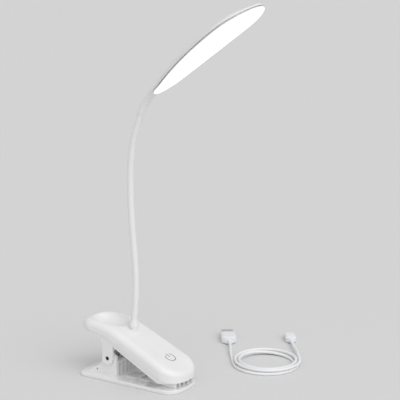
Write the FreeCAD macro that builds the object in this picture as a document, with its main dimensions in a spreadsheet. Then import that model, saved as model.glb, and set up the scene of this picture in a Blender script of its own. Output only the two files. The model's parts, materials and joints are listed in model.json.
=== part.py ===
"""Clip-on LED lamp: a sprung clip, a bendable neck, a leaf-shaped head and a charging cable.

Frame: X points to the tip of the clip, Y across it, Z up. The origin is the middle of the
lower jaw's flat underside. Lengths are millimetres and angles are degrees.
"""
import FreeCAD, Part
import math
import operator
import os
import Sketcher

Vector = FreeCAD.Vector
Rotation = FreeCAD.Rotation

SIZES = {
    # lower jaw
    "jaw_length": 110.5,
    "jaw_width": 45.6,
    "jaw_rear_width": 50.0,
    "jaw_front_bow": 4.0,
    "jaw_rear_bow": 1.2,
    "jaw_front_corner": 14.0,
    "jaw_rear_corner": 5.0,
    "jaw_height": 3.8,
    "jaw_edge_round": 1.0,
    "jaw_floor": 1.5,
    "jaw_wall": 2.4,
    "pocket_length": 12.5,
    "pocket_rib": 2.0,
    "pocket_front": 32.0,
    "ear_thickness": 2.6,
    "ear_outside": 35.0,
    "ear_rear_reach": 24.6,
    "ear_front_reach": 8.8,
    "ear_round": 6.0,
    "ear_hole": 1.0,
    "stop_thickness": 3.0,
    "stop_height": 14.7,
    "stop_slot": 3.0,
    # hinge
    "pivot_z": 21.5,
    "pin_radius": 2.0,
    "pin_running_gap": 0.06,
    "pin_recess": 0.7,
    # clip spring
    "spring_wire": 1.4,
    "spring_radius": 4.4,
    "spring_width": 10.0,
    "spring_lower_leg": 24.3,
    "spring_upper_leg": 21.0,
    "spring_lower_angle": 33.0,
    "spring_upper_angle": 40.0,
    "seat_gap": 0.3,
    # grip pads
    "pad_length": 15.0,
    "pad_width": 32.0,
    "pad_setback": 4.4,
    "pad_recess": 0.8,
    "pad_height": 1.6,
    "pad_ridge": 4.0,
    "pad_tooth": 0.8,
    "upper_pad_tooth": 3.4,
    "pad_gap": 0.4,
    # lever
    "lever_length": 116.0,
    "lever_overhang": 1.5,
    "lever_tail_width": 41.0,
    "lever_nose_width": 48.0,
    "lever_tail_bow": 6.0,
    "lever_nose_bow": 10.0,
    "lever_tail_corner": 15.0,
    "lever_nose_corner": 19.0,
    "lever_tail_lift": 46.5,
    "lever_nose_lift": 10.3,
    "shell_height": 12.5,
    "shell_shoulder": 6.2,
    "shell_wall": 1.8,
    "base_depth": 5.5,
    "base_inset": 1.0,
    "base_wall": 1.8,
    "lug_thickness": 2.4,
    "lug_gap": 0.35,
    "lug_round": 6.2,
    "scoop_length": 43.0,
    "scoop_width": 31.0,
    "scoop_depth": 11.0,
    "scoop_rise": 3.5,
    # neck boss
    "boss_stand": 10.26,
    "boss_height": 15.0,
    "boss_foot": 4.8,
    "boss_waist": 4.1,
    "boss_radius": 3.9,
    "nut_height": 3.2,
    "nut_radius": 6.2,
    # touch key
    "mark_from_nose": 21.75,
    "mark_radius": 5.4,
    "mark_line": 0.9,
    "mark_bar": 5.2,
    "mark_gap_half_angle": 32.0,
    "touch_radius": 5.0,
    # inside the lever
    "board_length": 30.0,
    "board_width": 37.0,
    "board_thickness": 1.2,
    "board_lift": 4.2,
    "board_start": -8.5,
    "battery_length": 29.0,
    "battery_width": 27.0,
    "battery_height": 6.0,
    "post_radius": 1.6,
    "screw_radius": 1.1,
    "screw_head_radius": 2.2,
    "screw_head": 0.9,
    "screw_spread": 30.0,
    "screw_span": 36.2,
    "screw_post_radius": 2.6,
    "port_width": 7.5,
    "port_height": 2.7,
    "port_depth": 5.2,
    "port_wall": 0.3,
    "port_tongue": 0.6,
    "port_start": 2.0,
    # neck
    "neck_radius": 3.0,
    "neck_rise": 198.6,
    "neck_ball_gap": 0.3,
    "fit_gap": 0.05,
    # head
    "stem_rise": 13.5,
    "stem_reach": 10.2,
    "stem_radius": 3.7,
    "stem_socket": 5.0,
    "head_pitch_angle": 36.5,
    "head_length": 143.5,
    "head_width": 57.0,
    "head_root_width": 9.0,
    "head_tip_run": 37.5,
    "head_tip_radius": 17.0,
    "head_arch": 3.4,
    "head_tip_lift": 2.6,
    "head_tip_depth": 1.8,
    "head_tip_taper": 43.5,
    "head_rim": 0.4,
    "head_depth": 4.4,
    "head_shoulder": 2.4,
    "head_wall": 1.5,
    "head_roof": 1.3,
    "head_root_taper": 24.0,
    "diffuser_inset": 1.9,
    "diffuser_thickness": 1.5,
    "diffuser_proud": 1.9,
    "diffuser_lap": 0.3,
    "diffuser_flange": 1.0,
    "diffuser_seat": 0.9,
    "diffuser_wall": 1.2,
    "led_board_inset": 7.0,
    "led_board_thickness": 0.8,
    "led_board_lift": 1.6,
    "led_length": 3.5,
    "led_width": 2.8,
    "led_height": 0.7,
    "led_row_gap": 12.0,
    "head_post_radius": 2.2,
    "head_screw_radius": 0.9,
    "head_screw_head_radius": 1.9,
    "head_screw_head": 0.7,
    "head_screw_gap": 0.25,
    # charging cable
    "cable_diameter": 3.0,
    "cable_x": 82.0,
    "cable_y": 100.0,
    "cable_turn_angle": 36.0,
    "coil_radius": 33.0,
    "coil_pitch": 4.0,
    "coil_layer_step": 3.5,
    "relief_length": 8.0,
    "relief_radius": 2.7,
    "usb_grip_length": 20.0,
    "usb_grip_width": 15.5,
    "usb_grip_height": 8.0,
    "usb_shell_length": 12.0,
    "usb_shell_width": 12.0,
    "usb_shell_height": 4.5,
    "usb_shell_wall": 0.3,
    "usb_tongue_height": 1.8,
    "usb_window": 2.4,
    "micro_grip_length": 17.0,
    "micro_grip_width": 11.0,
    "micro_grip_height": 6.8,
    "micro_shell_length": 6.0,
    "micro_shell_width": 6.9,
    "micro_shell_height": 1.9,
    "grip_round": 1.6,
    # every cutting tool reaches this far past what it cuts
    "overrun": 4.0,
}

# Outlines, as shares of the sizes that they follow.
# Lever: share of its length from the tail, of the drop from tail to nose, and of the shell's height.
lever_edge_shares = [(0.0, 1.0, 0.0), (0.426, 0.732, 0.0), (0.817, 0.13, 0.0), (1.0, 0.0, 0.0)]
lever_top_shares = [(0.0, 1.0, 0.52), (0.461, 0.684, 0.95), (1.0, 0.0, 0.512)]
edge_tail_bulge_share = 0.064
edge_nose_bulge_share = 0.062
top_tail_bulge_share = 0.086
base_tail_share = 0.06
base_nose_share = 0.93
# Where the hinge pin and the neck's boss stand, from the lever's tail.
pivot_place_share = 0.309
boss_place_share = 0.4582
# Neck: how far each joint stands in front of the boss, as a share of the neck's rise.
neck_lean_shares = [0.0, 0.0123, 0.0122, 0.003, -0.0066, -0.0111, -0.0084, 0.0102, 0.0539]
# Ears: places along and up the ear, as shares of its length behind the pin and of the pin's height.
ear_shoulder_share = 0.42
ear_shoulder_rise_share = 0.62
ear_peak_share = 0.12
ear_hole_share = 0.58
ear_hole_rise_share = 0.35
lug_spread_share = 3.6
lug_front_share = 1.3
lug_flare_share = 0.16
round_middle_share = math.sqrt(0.5)
# Neck boss: height of its waist and hollow of its flare.
boss_waist_share = 0.38
boss_flare_share = 0.14
# Head: places along the leaf as shares of its length, and its root's draw and bulge.
root_draw_share = 0.6
root_bulge_share = 0.04
stem_flat_share = 0.82
led_board_start_share = 0.19
led_board_end_share = 0.82
led_start_share = 0.24
led_span_share = 0.54
led_clear_share = 0.1
head_screw_shares = [0.3, 0.74]
# Cable: the part of the shorter run that an arc takes, and where the plug's windows stand.
lead_arc_share = 0.45
usb_window_share = 0.5

# Counts
jaw_pocket_rows = 3
jaw_pocket_columns = 3
stop_slot_count = 5
pad_ridge_count = 5
spring_turns = 4
coil_in_turns = 1.5
coil_climb_turns = 0.5
led_rows = 2
led_columns = 11
# Points compared along each turn of a wound tube, when its least gap is measured.
gap_points_per_turn = 72

# Lengths closer than this are the same.
tolerance = 1e-6

# The free ends of the cable, in the cable's own frame, by hand.
lead_a_route = [
    (-32.2, 52.0, 4.0),
    (-32.2, 42.0, 4.0),
    (-33.3, 27.0, 2.3),
    (-33.0, 12.0, 1.5),
    (-33.0, 0.0, 1.5),
]
lead_b_route = [
    (33.0, 0.0, 5.0),
    (33.0, 12.0, 5.0),
    (33.4, 27.0, 4.1),
    (32.4, 42.0, 3.4),
    (32.4, 52.0, 3.4),
]


class Size:
    """A number together with the sheet expression that gives it."""

    def __init__(self, value, text):
        self.value = value
        self.text = text

    def __add__(self, other):
        return combined(self, "+", other)

    def __radd__(self, other):
        return combined(other, "+", self)

    def __sub__(self, other):
        return combined(self, "-", other)

    def __rsub__(self, other):
        return combined(other, "-", self)

    def __mul__(self, other):
        return combined(self, "*", other)

    def __rmul__(self, other):
        return combined(other, "*", self)

    def __truediv__(self, other):
        return combined(self, "/", other)

    def __neg__(self):
        return combined(0, "-", self)


OPERATORS = {"+": operator.add, "-": operator.sub, "*": operator.mul, "/": operator.truediv}


def as_size(item):
    return item if isinstance(item, Size) else Size(float(item), f"{item:.9f}")


def combined(left, sign, right):
    left = as_size(left)
    right = as_size(right)
    return Size(OPERATORS[sign](left.value, right.value), f"({left.text} {sign} {right.text})")


def root(size):
    return Size(math.sqrt(size.value), f"sqrt({size.text})")


def cosine(angle):
    return Size(math.cos(math.radians(angle.value)), f"cos({angle.text} * 1 deg)")


def sine(angle):
    return Size(math.sin(math.radians(angle.value)), f"sin({angle.text} * 1 deg)")


def bearing(rise, run):
    """The angle in degrees whose tangent is rise over run."""
    angle = math.degrees(math.atan2(rise.value, run.value))
    return Size(angle, f"(atan2({rise.text}; {run.text}) / 1 deg)")


doc = FreeCAD.newDocument("clip_lamp")
sheet = doc.addObject("Spreadsheet::Sheet", "sizes")
for row, (alias, value) in enumerate(SIZES.items(), start=1):
    sheet.set(f"A{row}", alias)
    sheet.set(f"B{row}", str(value))
    sheet.setAlias(f"B{row}", alias)
doc.recompute()


class Dimensions:
    """The sheet's cells by name."""

    def __getattr__(self, alias):
        return Size(float(sheet.get(alias)), f"sizes.{alias}")


dim = Dimensions()
nodes = {}


def bind(item, prop, size):
    item.setExpression(prop, as_size(size).text)


def place(item, x, y, z, axis=None, angle=None):
    """Puts an object at a point, turned about an axis through its own origin."""
    if axis is not None:
        start = as_size(angle).value
        item.Placement = FreeCAD.Placement(Vector(), Rotation(axis, start))
        bind(item, "Placement.Rotation.Angle", angle)
    bind(item, "Placement.Base.x", x)
    bind(item, "Placement.Base.y", y)
    bind(item, "Placement.Base.z", z)
    return item


def finish(label, item):
    """Names a finished sub-part."""
    item.Label = label
    nodes[label] = item
    return item


def box(name, low, high):
    item = doc.addObject("Part::Box", name)
    bind(item, "Length", high[0] - low[0])
    bind(item, "Width", high[1] - low[1])
    bind(item, "Height", high[2] - low[2])
    return place(item, *low)


def block(name, length, width, height):
    """A box standing on the XY plane, centred on Z."""
    return box(name, (-length / 2, -width / 2, as_size(0)), (length / 2, width / 2, height))


def cylinder(name, radius, height):
    item = doc.addObject("Part::Cylinder", name)
    bind(item, "Radius", radius)
    bind(item, "Height", height)
    return item


def sphere(name, radius):
    item = doc.addObject("Part::Sphere", name)
    bind(item, "Radius", radius)
    return item


def cone(name, low_radius, high_radius, height):
    item = doc.addObject("Part::Cone", name)
    bind(item, "Radius1", low_radius)
    bind(item, "Radius2", high_radius)
    bind(item, "Height", height)
    return item


def across(name, radius, x, z, half_width):
    """A cylinder along Y, centred on the XZ plane."""
    item = cylinder(name, radius, half_width * 2)
    return place(item, x, -half_width, z, Vector(1, 0, 0), -90)


def cut(name, base, tool):
    item = doc.addObject("Part::Cut", name)
    item.Base = base
    item.Tool = tool
    return item


def fuse(name, pieces):
    item = doc.addObject("Part::MultiFuse", name)
    item.Shapes = pieces
    return item


def common(name, pieces):
    item = doc.addObject("Part::MultiCommon", name)
    item.Shapes = pieces
    return item


def group(name, pieces):
    """Separate solids that share one node."""
    item = doc.addObject("Part::Compound", name)
    item.Links = pieces
    return item


def rounded(name, base, radius, choose):
    """Fillets the edges of an object that choose accepts."""
    doc.recompute()
    item = doc.addObject("Part::Fillet", name)
    item.Base = base
    size = as_size(radius).value
    picked = [n for n, edge in enumerate(base.Shape.Edges, start=1) if choose(edge)]
    item.Edges = [(n, size, size) for n in picked]
    return item


def origin_plane(body, role):
    return next(plane for plane in body.Origin.OriginFeatures if plane.Role == role)


def bulged(first, last, share):
    """A point beside the middle of a chord; share is its distance over the chord, to the right."""
    return (
        (first[0] + last[0]) / 2 + (last[1] - first[1]) * share,
        (first[1] + last[1]) / 2 - (last[0] - first[0]) * share,
    )


def outline(body, name, role, start, steps):
    """A closed sketch. A step is a point to go straight to, or a point to pass and one to end at."""
    sketch = body.newObject("Sketcher::SketchObject", name)
    sketch.AttachmentSupport = [(origin_plane(body, role), "")]
    sketch.MapMode = "FlatFace"

    def at(point):
        return Vector(as_size(point[0]).value, as_size(point[1]).value, 0)

    def pin(geometry, vertex, point):
        for kind, size in zip(("DistanceX", "DistanceY"), point):
            size = as_size(size)
            number = sketch.addConstraint(Sketcher.Constraint(kind, -1, 1, geometry, vertex, size.value))
            sketch.setExpression(f"Constraints[{number}]", size.text)

    ends = []
    here = start
    for step in steps:
        if len(step) == 1:
            geometry = sketch.addGeometry(Part.LineSegment(at(here), at(step[0])))
        else:
            geometry = sketch.addGeometry(Part.Arc(at(here), at(step[0]), at(step[1])))
        near, far = (sketch.getPoint(geometry, vertex).distanceToPoint(at(here)) for vertex in (1, 2))
        forward = near < far
        ends.append((geometry, 1, 2) if forward else (geometry, 2, 1))
        here = step[-1]
    for (geometry, first, last), step in zip(ends, steps):
        pin(geometry, last, step[-1])
        if len(step) == 2:
            passed = sketch.addGeometry(Part.Point(at(step[0])), True)
            pin(passed, 1, step[0])
            sketch.addConstraint(Sketcher.Constraint("PointOnObject", passed, 1, geometry))
    for (before, _, last), (after, first, _) in zip(ends, ends[1:] + ends[:1]):
        sketch.addConstraint(Sketcher.Constraint("Coincident", before, last, after, first))
    return sketch


def padded(name, role, length, start, steps, symmetric=True):
    """A body of one outline, padded to both sides of its plane or to one."""
    body = doc.addObject("PartDesign::Body", name)
    sketch = outline(body, name + "_outline", role, start, steps)
    pad = body.newObject("PartDesign::Pad", name + "_pad")
    pad.Profile = sketch
    pad.SideType = "Symmetric" if symmetric else "One side"
    bind(pad, "Length", length)
    return body


def upright(edge):
    """True for an edge along Z."""
    if len(edge.Vertexes) != 2:
        return False
    along = edge.Vertexes[1].Point - edge.Vertexes[0].Point
    return math.hypot(along.x, along.y) < tolerance < abs(along.z)


def oval_prism(name, ends, widths, bows, corners, inset, low, high):
    """A tapered, round-ended slab seen from above: (rear, front) pairs give its ends."""
    rear_x = ends[0] + inset
    front_x = ends[1] - inset
    rear = widths[0] / 2 - inset
    front = widths[1] / 2 - inset
    start = (rear_x + bows[0], -rear)
    steps = [
        [(front_x - bows[1], -front)],
        [(front_x, as_size(0)), (front_x - bows[1], front)],
        [(rear_x + bows[0], rear)],
        [(rear_x, as_size(0)), start],
    ]
    body = padded(name, "XY_Plane", high - low, start, steps, symmetric=False)
    place(body, 0, 0, low)
    middle = (ends[0].value + ends[1].value) / 2

    def at_rear(edge):
        return upright(edge) and edge.CenterOfMass.x < middle

    def at_front(edge):
        return upright(edge) and edge.CenterOfMass.x > middle

    back = rounded(name + "_rear", body, corners[0] - inset, at_rear)
    return rounded(name + "_front", back, corners[1] - inset, at_front)


# Lower jaw
jaw_rear_x = -dim.jaw_length / 2
jaw_front_x = dim.jaw_length / 2
ear_outer = dim.ear_outside / 2
ear_inner = ear_outer - dim.ear_thickness
lug_inner = ear_outer + dim.lug_gap
lug_outer = lug_inner + dim.lug_thickness


def side_plate(name, y_low, thickness, start, steps):
    """A plate parallel to XZ with its -Y face at y_low."""
    body = padded(name, "XZ_Plane", thickness, start, steps, symmetric=True)
    return place(body, 0, y_low + thickness / 2, 0)


def ear(name, y_low):
    """One hinge ear of the lower jaw: a ramp at the back, a round top at the pin."""
    rear_x = pivot_x - dim.ear_rear_reach
    front_x = pivot_x + dim.ear_front_reach
    start = (rear_x, dim.jaw_floor)
    shoulder_x = pivot_x - dim.ear_rear_reach * ear_shoulder_share
    shoulder_z = dim.pivot_z * ear_shoulder_rise_share
    round_by = dim.ear_round * round_middle_share
    steps = [
        [(front_x, dim.jaw_floor)],
        [(front_x, dim.pivot_z * (1 + ear_peak_share))],
        [(pivot_x, dim.pivot_z + dim.ear_round)],
        [
            (pivot_x - round_by, dim.pivot_z + round_by),
            (pivot_x - dim.ear_round, dim.pivot_z),
        ],
        [(shoulder_x, shoulder_z)],
        [(rear_x, dim.jaw_height + dim.jaw_edge_round)],
        [start],
    ]
    return side_plate(name, y_low, dim.ear_thickness, start, steps)


def lower_jaw():
    slab = oval_prism(
        "jaw_slab",
        (jaw_rear_x, jaw_front_x),
        (dim.jaw_rear_width, dim.jaw_width),
        (dim.jaw_rear_bow, dim.jaw_front_bow),
        (dim.jaw_rear_corner, dim.jaw_front_corner),
        as_size(0),
        as_size(0),
        dim.jaw_height,
    )
    doc.recompute()

    def on_rim(edge):
        ends = edge.BoundBox
        flat = ends.ZMax - ends.ZMin < tolerance
        return flat and any(abs(ends.ZMin - z) < tolerance for z in (0, dim.jaw_height.value))

    rim = rounded("jaw_rim", slab, dim.jaw_edge_round, on_rim)
    half = dim.jaw_rear_width / 2 - dim.jaw_wall
    pockets = []
    width = (half * 2 - dim.pocket_rib * (jaw_pocket_columns - 1)) / jaw_pocket_columns
    for row in range(jaw_pocket_rows):
        front = dim.pocket_front - (dim.pocket_length + dim.pocket_rib) * row
        for column in range(jaw_pocket_columns):
            low_y = (width + dim.pocket_rib) * column - half
            low = (front - dim.pocket_length, low_y, dim.jaw_floor)
            high = (front, low_y + width, dim.jaw_height + dim.overrun)
            pockets.append(box(f"jaw_pocket_{row}_{column}", low, high))
    seat_low = (pad_rear(), -dim.pad_width / 2, dim.jaw_height - dim.pad_recess)
    seat_high = (pad_rear() + dim.pad_length, dim.pad_width / 2, dim.jaw_height + dim.overrun)
    pockets.append(box("jaw_pad_seat", seat_low, seat_high))
    tray = cut("jaw_tray", rim, fuse("jaw_hollows", pockets))
    stop_front = pivot_x + dim.ear_front_reach
    stop = box(
        "jaw_stop",
        (stop_front - dim.stop_thickness, -ear_inner - dim.ear_thickness / 2, dim.jaw_floor),
        (stop_front, ear_inner + dim.ear_thickness / 2, dim.jaw_height + dim.stop_height),
    )
    slots = []
    top = dim.jaw_height + dim.stop_height - dim.jaw_wall
    for number in range(stop_slot_count):
        middle = dim.stop_slot * 2 * (number - (stop_slot_count - 1) / 2)
        low = (stop_front - dim.stop_thickness - dim.overrun, middle - dim.stop_slot / 2, dim.jaw_height)
        high = (stop_front + dim.overrun, middle + dim.stop_slot / 2, top)
        slots.append(box(f"jaw_stop_slot_{number}", low, high))
    wall = cut("jaw_stop_wall", stop, fuse("jaw_stop_slots", slots))
    ears = [ear("ear_near", -ear_outer), ear("ear_far", ear_inner)]
    whole = fuse("jaw_whole", [tray, wall] + ears)
    bore = across("jaw_pin_bore", dim.pin_radius, pivot_x, dim.pivot_z, ear_outer + dim.overrun)
    guide_x = pivot_x - dim.ear_rear_reach * ear_hole_share
    guide_z = dim.pivot_z * ear_hole_rise_share
    guide = across("ear_guide_hole", dim.ear_hole, guide_x, guide_z, ear_outer + dim.overrun)
    finish("lower_jaw", cut("jaw_bored", whole, fuse("jaw_bores", [bore, guide])))


def pad_rear():
    return jaw_front_x - dim.pad_setback - dim.pad_length


def toothed_pad(name, z_low, z_high, tooth, teeth_up):
    """A rubber pad with a row of ridges along the jaw on one face."""
    half = dim.pad_width / 2
    x_low = pad_rear()
    x_high = x_low + dim.pad_length
    slab = box(name + "_slab", (x_low, -half, z_low), (x_high, half, z_high))
    groove = (dim.pad_width - dim.pad_ridge * pad_ridge_count) / (pad_ridge_count - 1)
    low_z = z_high - tooth if teeth_up else z_low - dim.overrun
    high_z = z_high + dim.overrun if teeth_up else z_low + tooth
    grooves = []
    for number in range(1, pad_ridge_count):
        start = dim.pad_ridge * number + groove * (number - 1) - half
        low = (x_low - dim.overrun, start, low_z)
        grooves.append(box(f"{name}_groove_{number}", low, (x_high + dim.overrun, start + groove, high_z)))
    return cut(name + "_toothed", slab, fuse(name + "_grooves", grooves))


def pivot_pin():
    pin = across("pin", dim.pin_radius, pivot_x, dim.pivot_z, lug_outer - dim.pin_recess)
    finish("pivot_pin", pin)


# Lever
lever_front_x = jaw_front_x + dim.lever_overhang
lever_rear_x = lever_front_x - dim.lever_length
pivot_x = lever_rear_x + dim.lever_length * pivot_place_share
boss_x = lever_rear_x + dim.lever_length * boss_place_share
mark_x = lever_front_x - dim.mark_from_nose


def lever_point(shares, lower=0.0, raise_by=0.0):
    """A point of the lever's side view from its shares."""
    x = lever_rear_x + dim.lever_length * shares[0]
    drop = dim.lever_tail_lift - dim.lever_nose_lift
    return (x, dim.lever_nose_lift + drop * shares[1] + dim.shell_height * shares[2] - lower + raise_by)


edge_points = [lever_point(shares) for shares in lever_edge_shares]
top_points = [lever_point(shares) for shares in lever_top_shares]
boss_top = top_points[1][1] + dim.boss_stand
deck_pitch = bearing(edge_points[1][1] - edge_points[2][1], edge_points[2][0] - edge_points[1][0])
deck_x = (edge_points[1][0] + edge_points[2][0]) / 2
deck_z = (edge_points[1][1] + edge_points[2][1]) / 2


def deck_point(along, lift):
    """A point in the lever's own slope: along it from the middle, and square above the split."""
    return (
        deck_x + along * cosine(deck_pitch) + lift * sine(deck_pitch),
        deck_z - along * sine(deck_pitch) + lift * cosine(deck_pitch),
    )


def on_deck(item, along, y, lift):
    x, z = deck_point(along, lift)
    return place(item, x, y, z, Vector(0, 1, 0), deck_pitch)


def deck_box(name, low, high):
    item = doc.addObject("Part::Box", name)
    bind(item, "Length", high[0] - low[0])
    bind(item, "Width", high[1] - low[1])
    bind(item, "Height", high[2] - low[2])
    return on_deck(item, as_size(low[0]), low[1], as_size(low[2]))


def lever_plan(name, inset):
    return oval_prism(
        name,
        (lever_rear_x, lever_front_x),
        (dim.lever_tail_width, dim.lever_nose_width),
        (dim.lever_tail_bow, dim.lever_nose_bow),
        (dim.lever_tail_corner, dim.lever_nose_corner),
        inset,
        as_size(0),
        dim.lever_tail_lift + dim.shell_height + dim.overrun,
    )


def shifted(point, dx, dz):
    return (point[0] + dx, point[1] + dz)


def lever_side(name, inset, reach, below):
    """The shell's side view: its split edge below, its crown above; reach runs past both ends."""
    low = [shifted(point, 0, -below) for point in edge_points]
    high = [shifted(point, 0, -inset) for point in top_points]
    high[0] = shifted(high[0], -reach, 0)
    high[2] = shifted(high[2], reach, 0)
    start = shifted(low[0], -reach, 0)
    steps = [
        [low[0]],
        [bulged(low[0], low[1], -edge_tail_bulge_share), low[1]],
        [low[2]],
        [bulged(low[2], low[3], edge_nose_bulge_share), low[3]],
        [shifted(low[3], reach, 0)],
        [high[2]],
        [high[1]],
        [bulged(high[1], high[0], top_tail_bulge_share), high[0]],
        [start],
    ]
    return padded(name, "XZ_Plane", dim.lever_nose_width + dim.overrun, start, steps)


def crowned(name, inset, below):
    """The lever's rounded form: its plan cut by its side view, with soft shoulders."""
    plan = lever_plan(name + "_plan", inset)
    side = lever_side(name + "_side", inset, dim.overrun, below)
    solid = common(name + "_form", [plan, side])
    doc.recompute()
    roofs = [face for face in solid.Shape.Faces if face.normalAt(*middle_of(face)).z > 0.5]

    def on_roof(edge):
        owners = [face for face in roofs if any(edge.isSame(other) for other in face.Edges)]
        return len(owners) == 1

    return rounded(name, solid, dim.shell_shoulder - inset, on_roof)


def middle_of(face):
    low_u, high_u, low_v, high_v = face.ParameterRange
    return (low_u + high_u) / 2, (low_v + high_v) / 2


def scoop(name, grow):
    """The thumb hollow behind the boss."""
    item = doc.addObject("Part::Ellipsoid", name)
    bind(item, "Radius1", dim.scoop_depth + grow)
    bind(item, "Radius2", dim.scoop_length / 2 + grow)
    bind(item, "Radius3", dim.scoop_width / 2 + grow)
    x = boss_x - dim.boss_waist - dim.scoop_length / 2
    return place(item, x, 0, top_points[0][1] + dim.scoop_rise)


def boss():
    """The flared foot that holds the neck, turned about the neck's axis."""
    body = doc.addObject("PartDesign::Body", "boss")
    foot_z = boss_top - dim.boss_height
    waist = (dim.boss_waist, boss_top - dim.boss_height * boss_waist_share)
    start = (as_size(0), foot_z)
    foot = (dim.boss_foot, foot_z)
    steps = [
        [foot],
        [bulged(foot, waist, -boss_flare_share), waist],
        [(dim.boss_radius, boss_top)],
        [(as_size(0), boss_top)],
        [start],
    ]
    sketch = outline(body, "boss_outline", "XZ_Plane", start, steps)
    turned = body.newObject("PartDesign::Revolution", "boss_turned")
    turned.Profile = sketch
    turned.ReferenceAxis = (sketch, ["V_Axis"])
    turned.Angle = 360
    return place(body, boss_x, 0, 0)


def neck_bore():
    height = dim.boss_height + dim.overrun * 2
    item = cylinder("boss_bore", dim.neck_radius + dim.fit_gap, height)
    return place(item, boss_x, 0, boss_top - dim.boss_height - dim.overrun)


def screw_places():
    middle = dim.board_start + dim.board_length / 2
    for along in (-1, 1):
        for side in (-1, 1):
            yield middle + dim.screw_span / 2 * along, dim.screw_spread / 2 * side


def base_floor_lift():
    """Square distance from the split down to the base's inner floor, at the middle of the slope."""
    return dim.base_wall - dim.base_depth * cosine(deck_pitch)


def mark_along():
    """How far down the slope the power mark stands, so that it meets the crown at mark_x."""
    return (mark_x - deck_x - shell_crown_lift() * sine(deck_pitch)) / cosine(deck_pitch)


def mark_tool():
    """The power mark as a prism square to the slope: an open ring and a bar in its gap."""
    reach = dim.shell_height + dim.overrun
    along = mark_along()
    ring = cut(
        "mark_ring",
        on_deck(cylinder("mark_disc", dim.mark_radius, reach), along, 0, 0),
        on_deck(cylinder("mark_eye", dim.mark_radius - dim.mark_line, reach), along, 0, 0),
    )
    half_gap = dim.mark_radius * sine(dim.mark_gap_half_angle)
    gap_start = along - dim.mark_radius - dim.mark_line
    gap = deck_box("mark_gap", (gap_start, -half_gap, 0), (along, half_gap, reach))
    bar_start = along - dim.mark_radius - dim.mark_line / 2
    half_bar = dim.mark_line / 2
    bar = deck_box("mark_bar", (bar_start, -half_bar, 0), (bar_start + dim.mark_bar, half_bar, reach))
    return fuse("mark_prism", [cut("mark_open_ring", ring, gap), bar])


def port_box(name, grow, reach):
    """The charge port's outside, or the slot for it in the shell."""
    outer = port_outer()
    low = (dim.port_start - grow, outer - dim.port_depth - grow, dim.board_lift - dim.port_height - grow)
    high = (dim.port_start + dim.port_width + grow, outer + reach, dim.board_lift + grow)
    return deck_box(name, low, high)


def port_outer():
    """The port's mouth, just inside the lever's side wall."""
    return (dim.lever_tail_width + dim.lever_nose_width) / 4 - dim.fit_gap


def lever_shell():
    outer = crowned("shell_outer", as_size(0), as_size(0))
    inner = crowned("shell_inner", dim.shell_wall, dim.overrun)
    cavity = cut("shell_cavity", inner, scoop("scoop_wall", dim.shell_wall))
    hollow = cut("shell_hollow", outer, cavity)
    posts = []
    pilots = []
    for number, (along, y) in enumerate(screw_places()):
        floor = base_floor_lift() + dim.fit_gap
        post = cylinder(f"screw_post_{number}", dim.screw_post_radius, dim.shell_height * 2)
        posts.append(on_deck(post, along, y, floor))
        pilot = cylinder(f"screw_pilot_{number}", dim.screw_radius, dim.shell_height)
        pilots.append(on_deck(pilot, along, y, floor - dim.overrun))
    whole = lever_whole()
    posts_inside = common("screw_posts", [fuse("screw_posts_long", posts), whole])
    scooped = cut("shell_scooped", fuse("shell_posts", [hollow, posts_inside]), scoop("scoop", as_size(0)))
    with_boss = fuse("shell_boss", [scooped, boss()])
    holes = fuse("shell_holes", [neck_bore(), port_box("port_slot", dim.fit_gap, dim.overrun)] + pilots)
    bored = cut("shell_bored", with_boss, holes)
    prism = mark_tool()
    finish("lever_shell", cut("shell_marked", bored, prism))
    finish("touch_mark", common("mark", [bored, prism]))


def lever_whole():
    """The space of shell and base together, for trimming what stands inside both."""
    plan = lever_plan("space_plan", dim.base_inset)
    side = lever_side("space_side", as_size(0), dim.overrun, dim.base_depth)
    return common("lever_space", [plan, side])


def base_points(lower):
    """The base's underside: the split edge let down by its depth and drawn in at both ends."""
    tail = lever_point((base_tail_share, lever_edge_shares[0][1], 0))
    nose = lever_point((base_nose_share, 0, 0))
    return [
        shifted(tail, lower, -dim.base_wall + lower),
        shifted(edge_points[1], 0, -dim.base_depth + lower),
        shifted(edge_points[2], 0, -dim.base_depth + lower),
        shifted(nose, -lower, lower),
    ]


def base_side(name, lower, above):
    """The base's side view; lower lifts its underside by a wall, above lifts its top edge."""
    high = [shifted(point, 0, above) for point in edge_points]
    low = base_points(lower)
    steps = [
        [bulged(low[0], low[1], -edge_tail_bulge_share), low[1]],
        [low[2]],
        [low[3]],
        [high[3]],
        [bulged(high[3], high[2], -edge_nose_bulge_share), high[2]],
        [high[1]],
        [bulged(high[1], high[0], edge_tail_bulge_share), high[0]],
        [low[0]],
    ]
    return padded(name, "XZ_Plane", dim.lever_nose_width + dim.overrun, low[0], steps)


def lug(name, y_low):
    """One hinge lug of the base, which hangs outside an ear of the jaw and flares to the tail."""
    start = (pivot_x - dim.lug_round, dim.pivot_z)
    top = dim.lever_tail_lift + dim.shell_height
    tail = (pivot_x - dim.lug_round * lug_spread_share, top)
    steps = [
        [(pivot_x, dim.pivot_z - dim.lug_round), (pivot_x + dim.lug_round, dim.pivot_z)],
        [(pivot_x + dim.lug_round * lug_front_share, top)],
        [tail],
        [bulged(tail, start, -lug_flare_share), start],
    ]
    return side_plate(name, y_low, dim.lug_thickness, start, steps)


def below_split():
    """Everything under the split edge, for trimming the lugs."""
    low_left = (lever_rear_x - dim.overrun, as_size(0))
    low_right = (lever_front_x + dim.overrun, as_size(0))
    high = edge_points
    steps = [
        [low_right],
        [high[3]],
        [bulged(high[3], high[2], -edge_nose_bulge_share), high[2]],
        [high[1]],
        [bulged(high[1], high[0], edge_tail_bulge_share), high[0]],
        [low_left],
    ]
    return padded("below_split", "XZ_Plane", dim.lever_nose_width + dim.overrun, low_left, steps)


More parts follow.
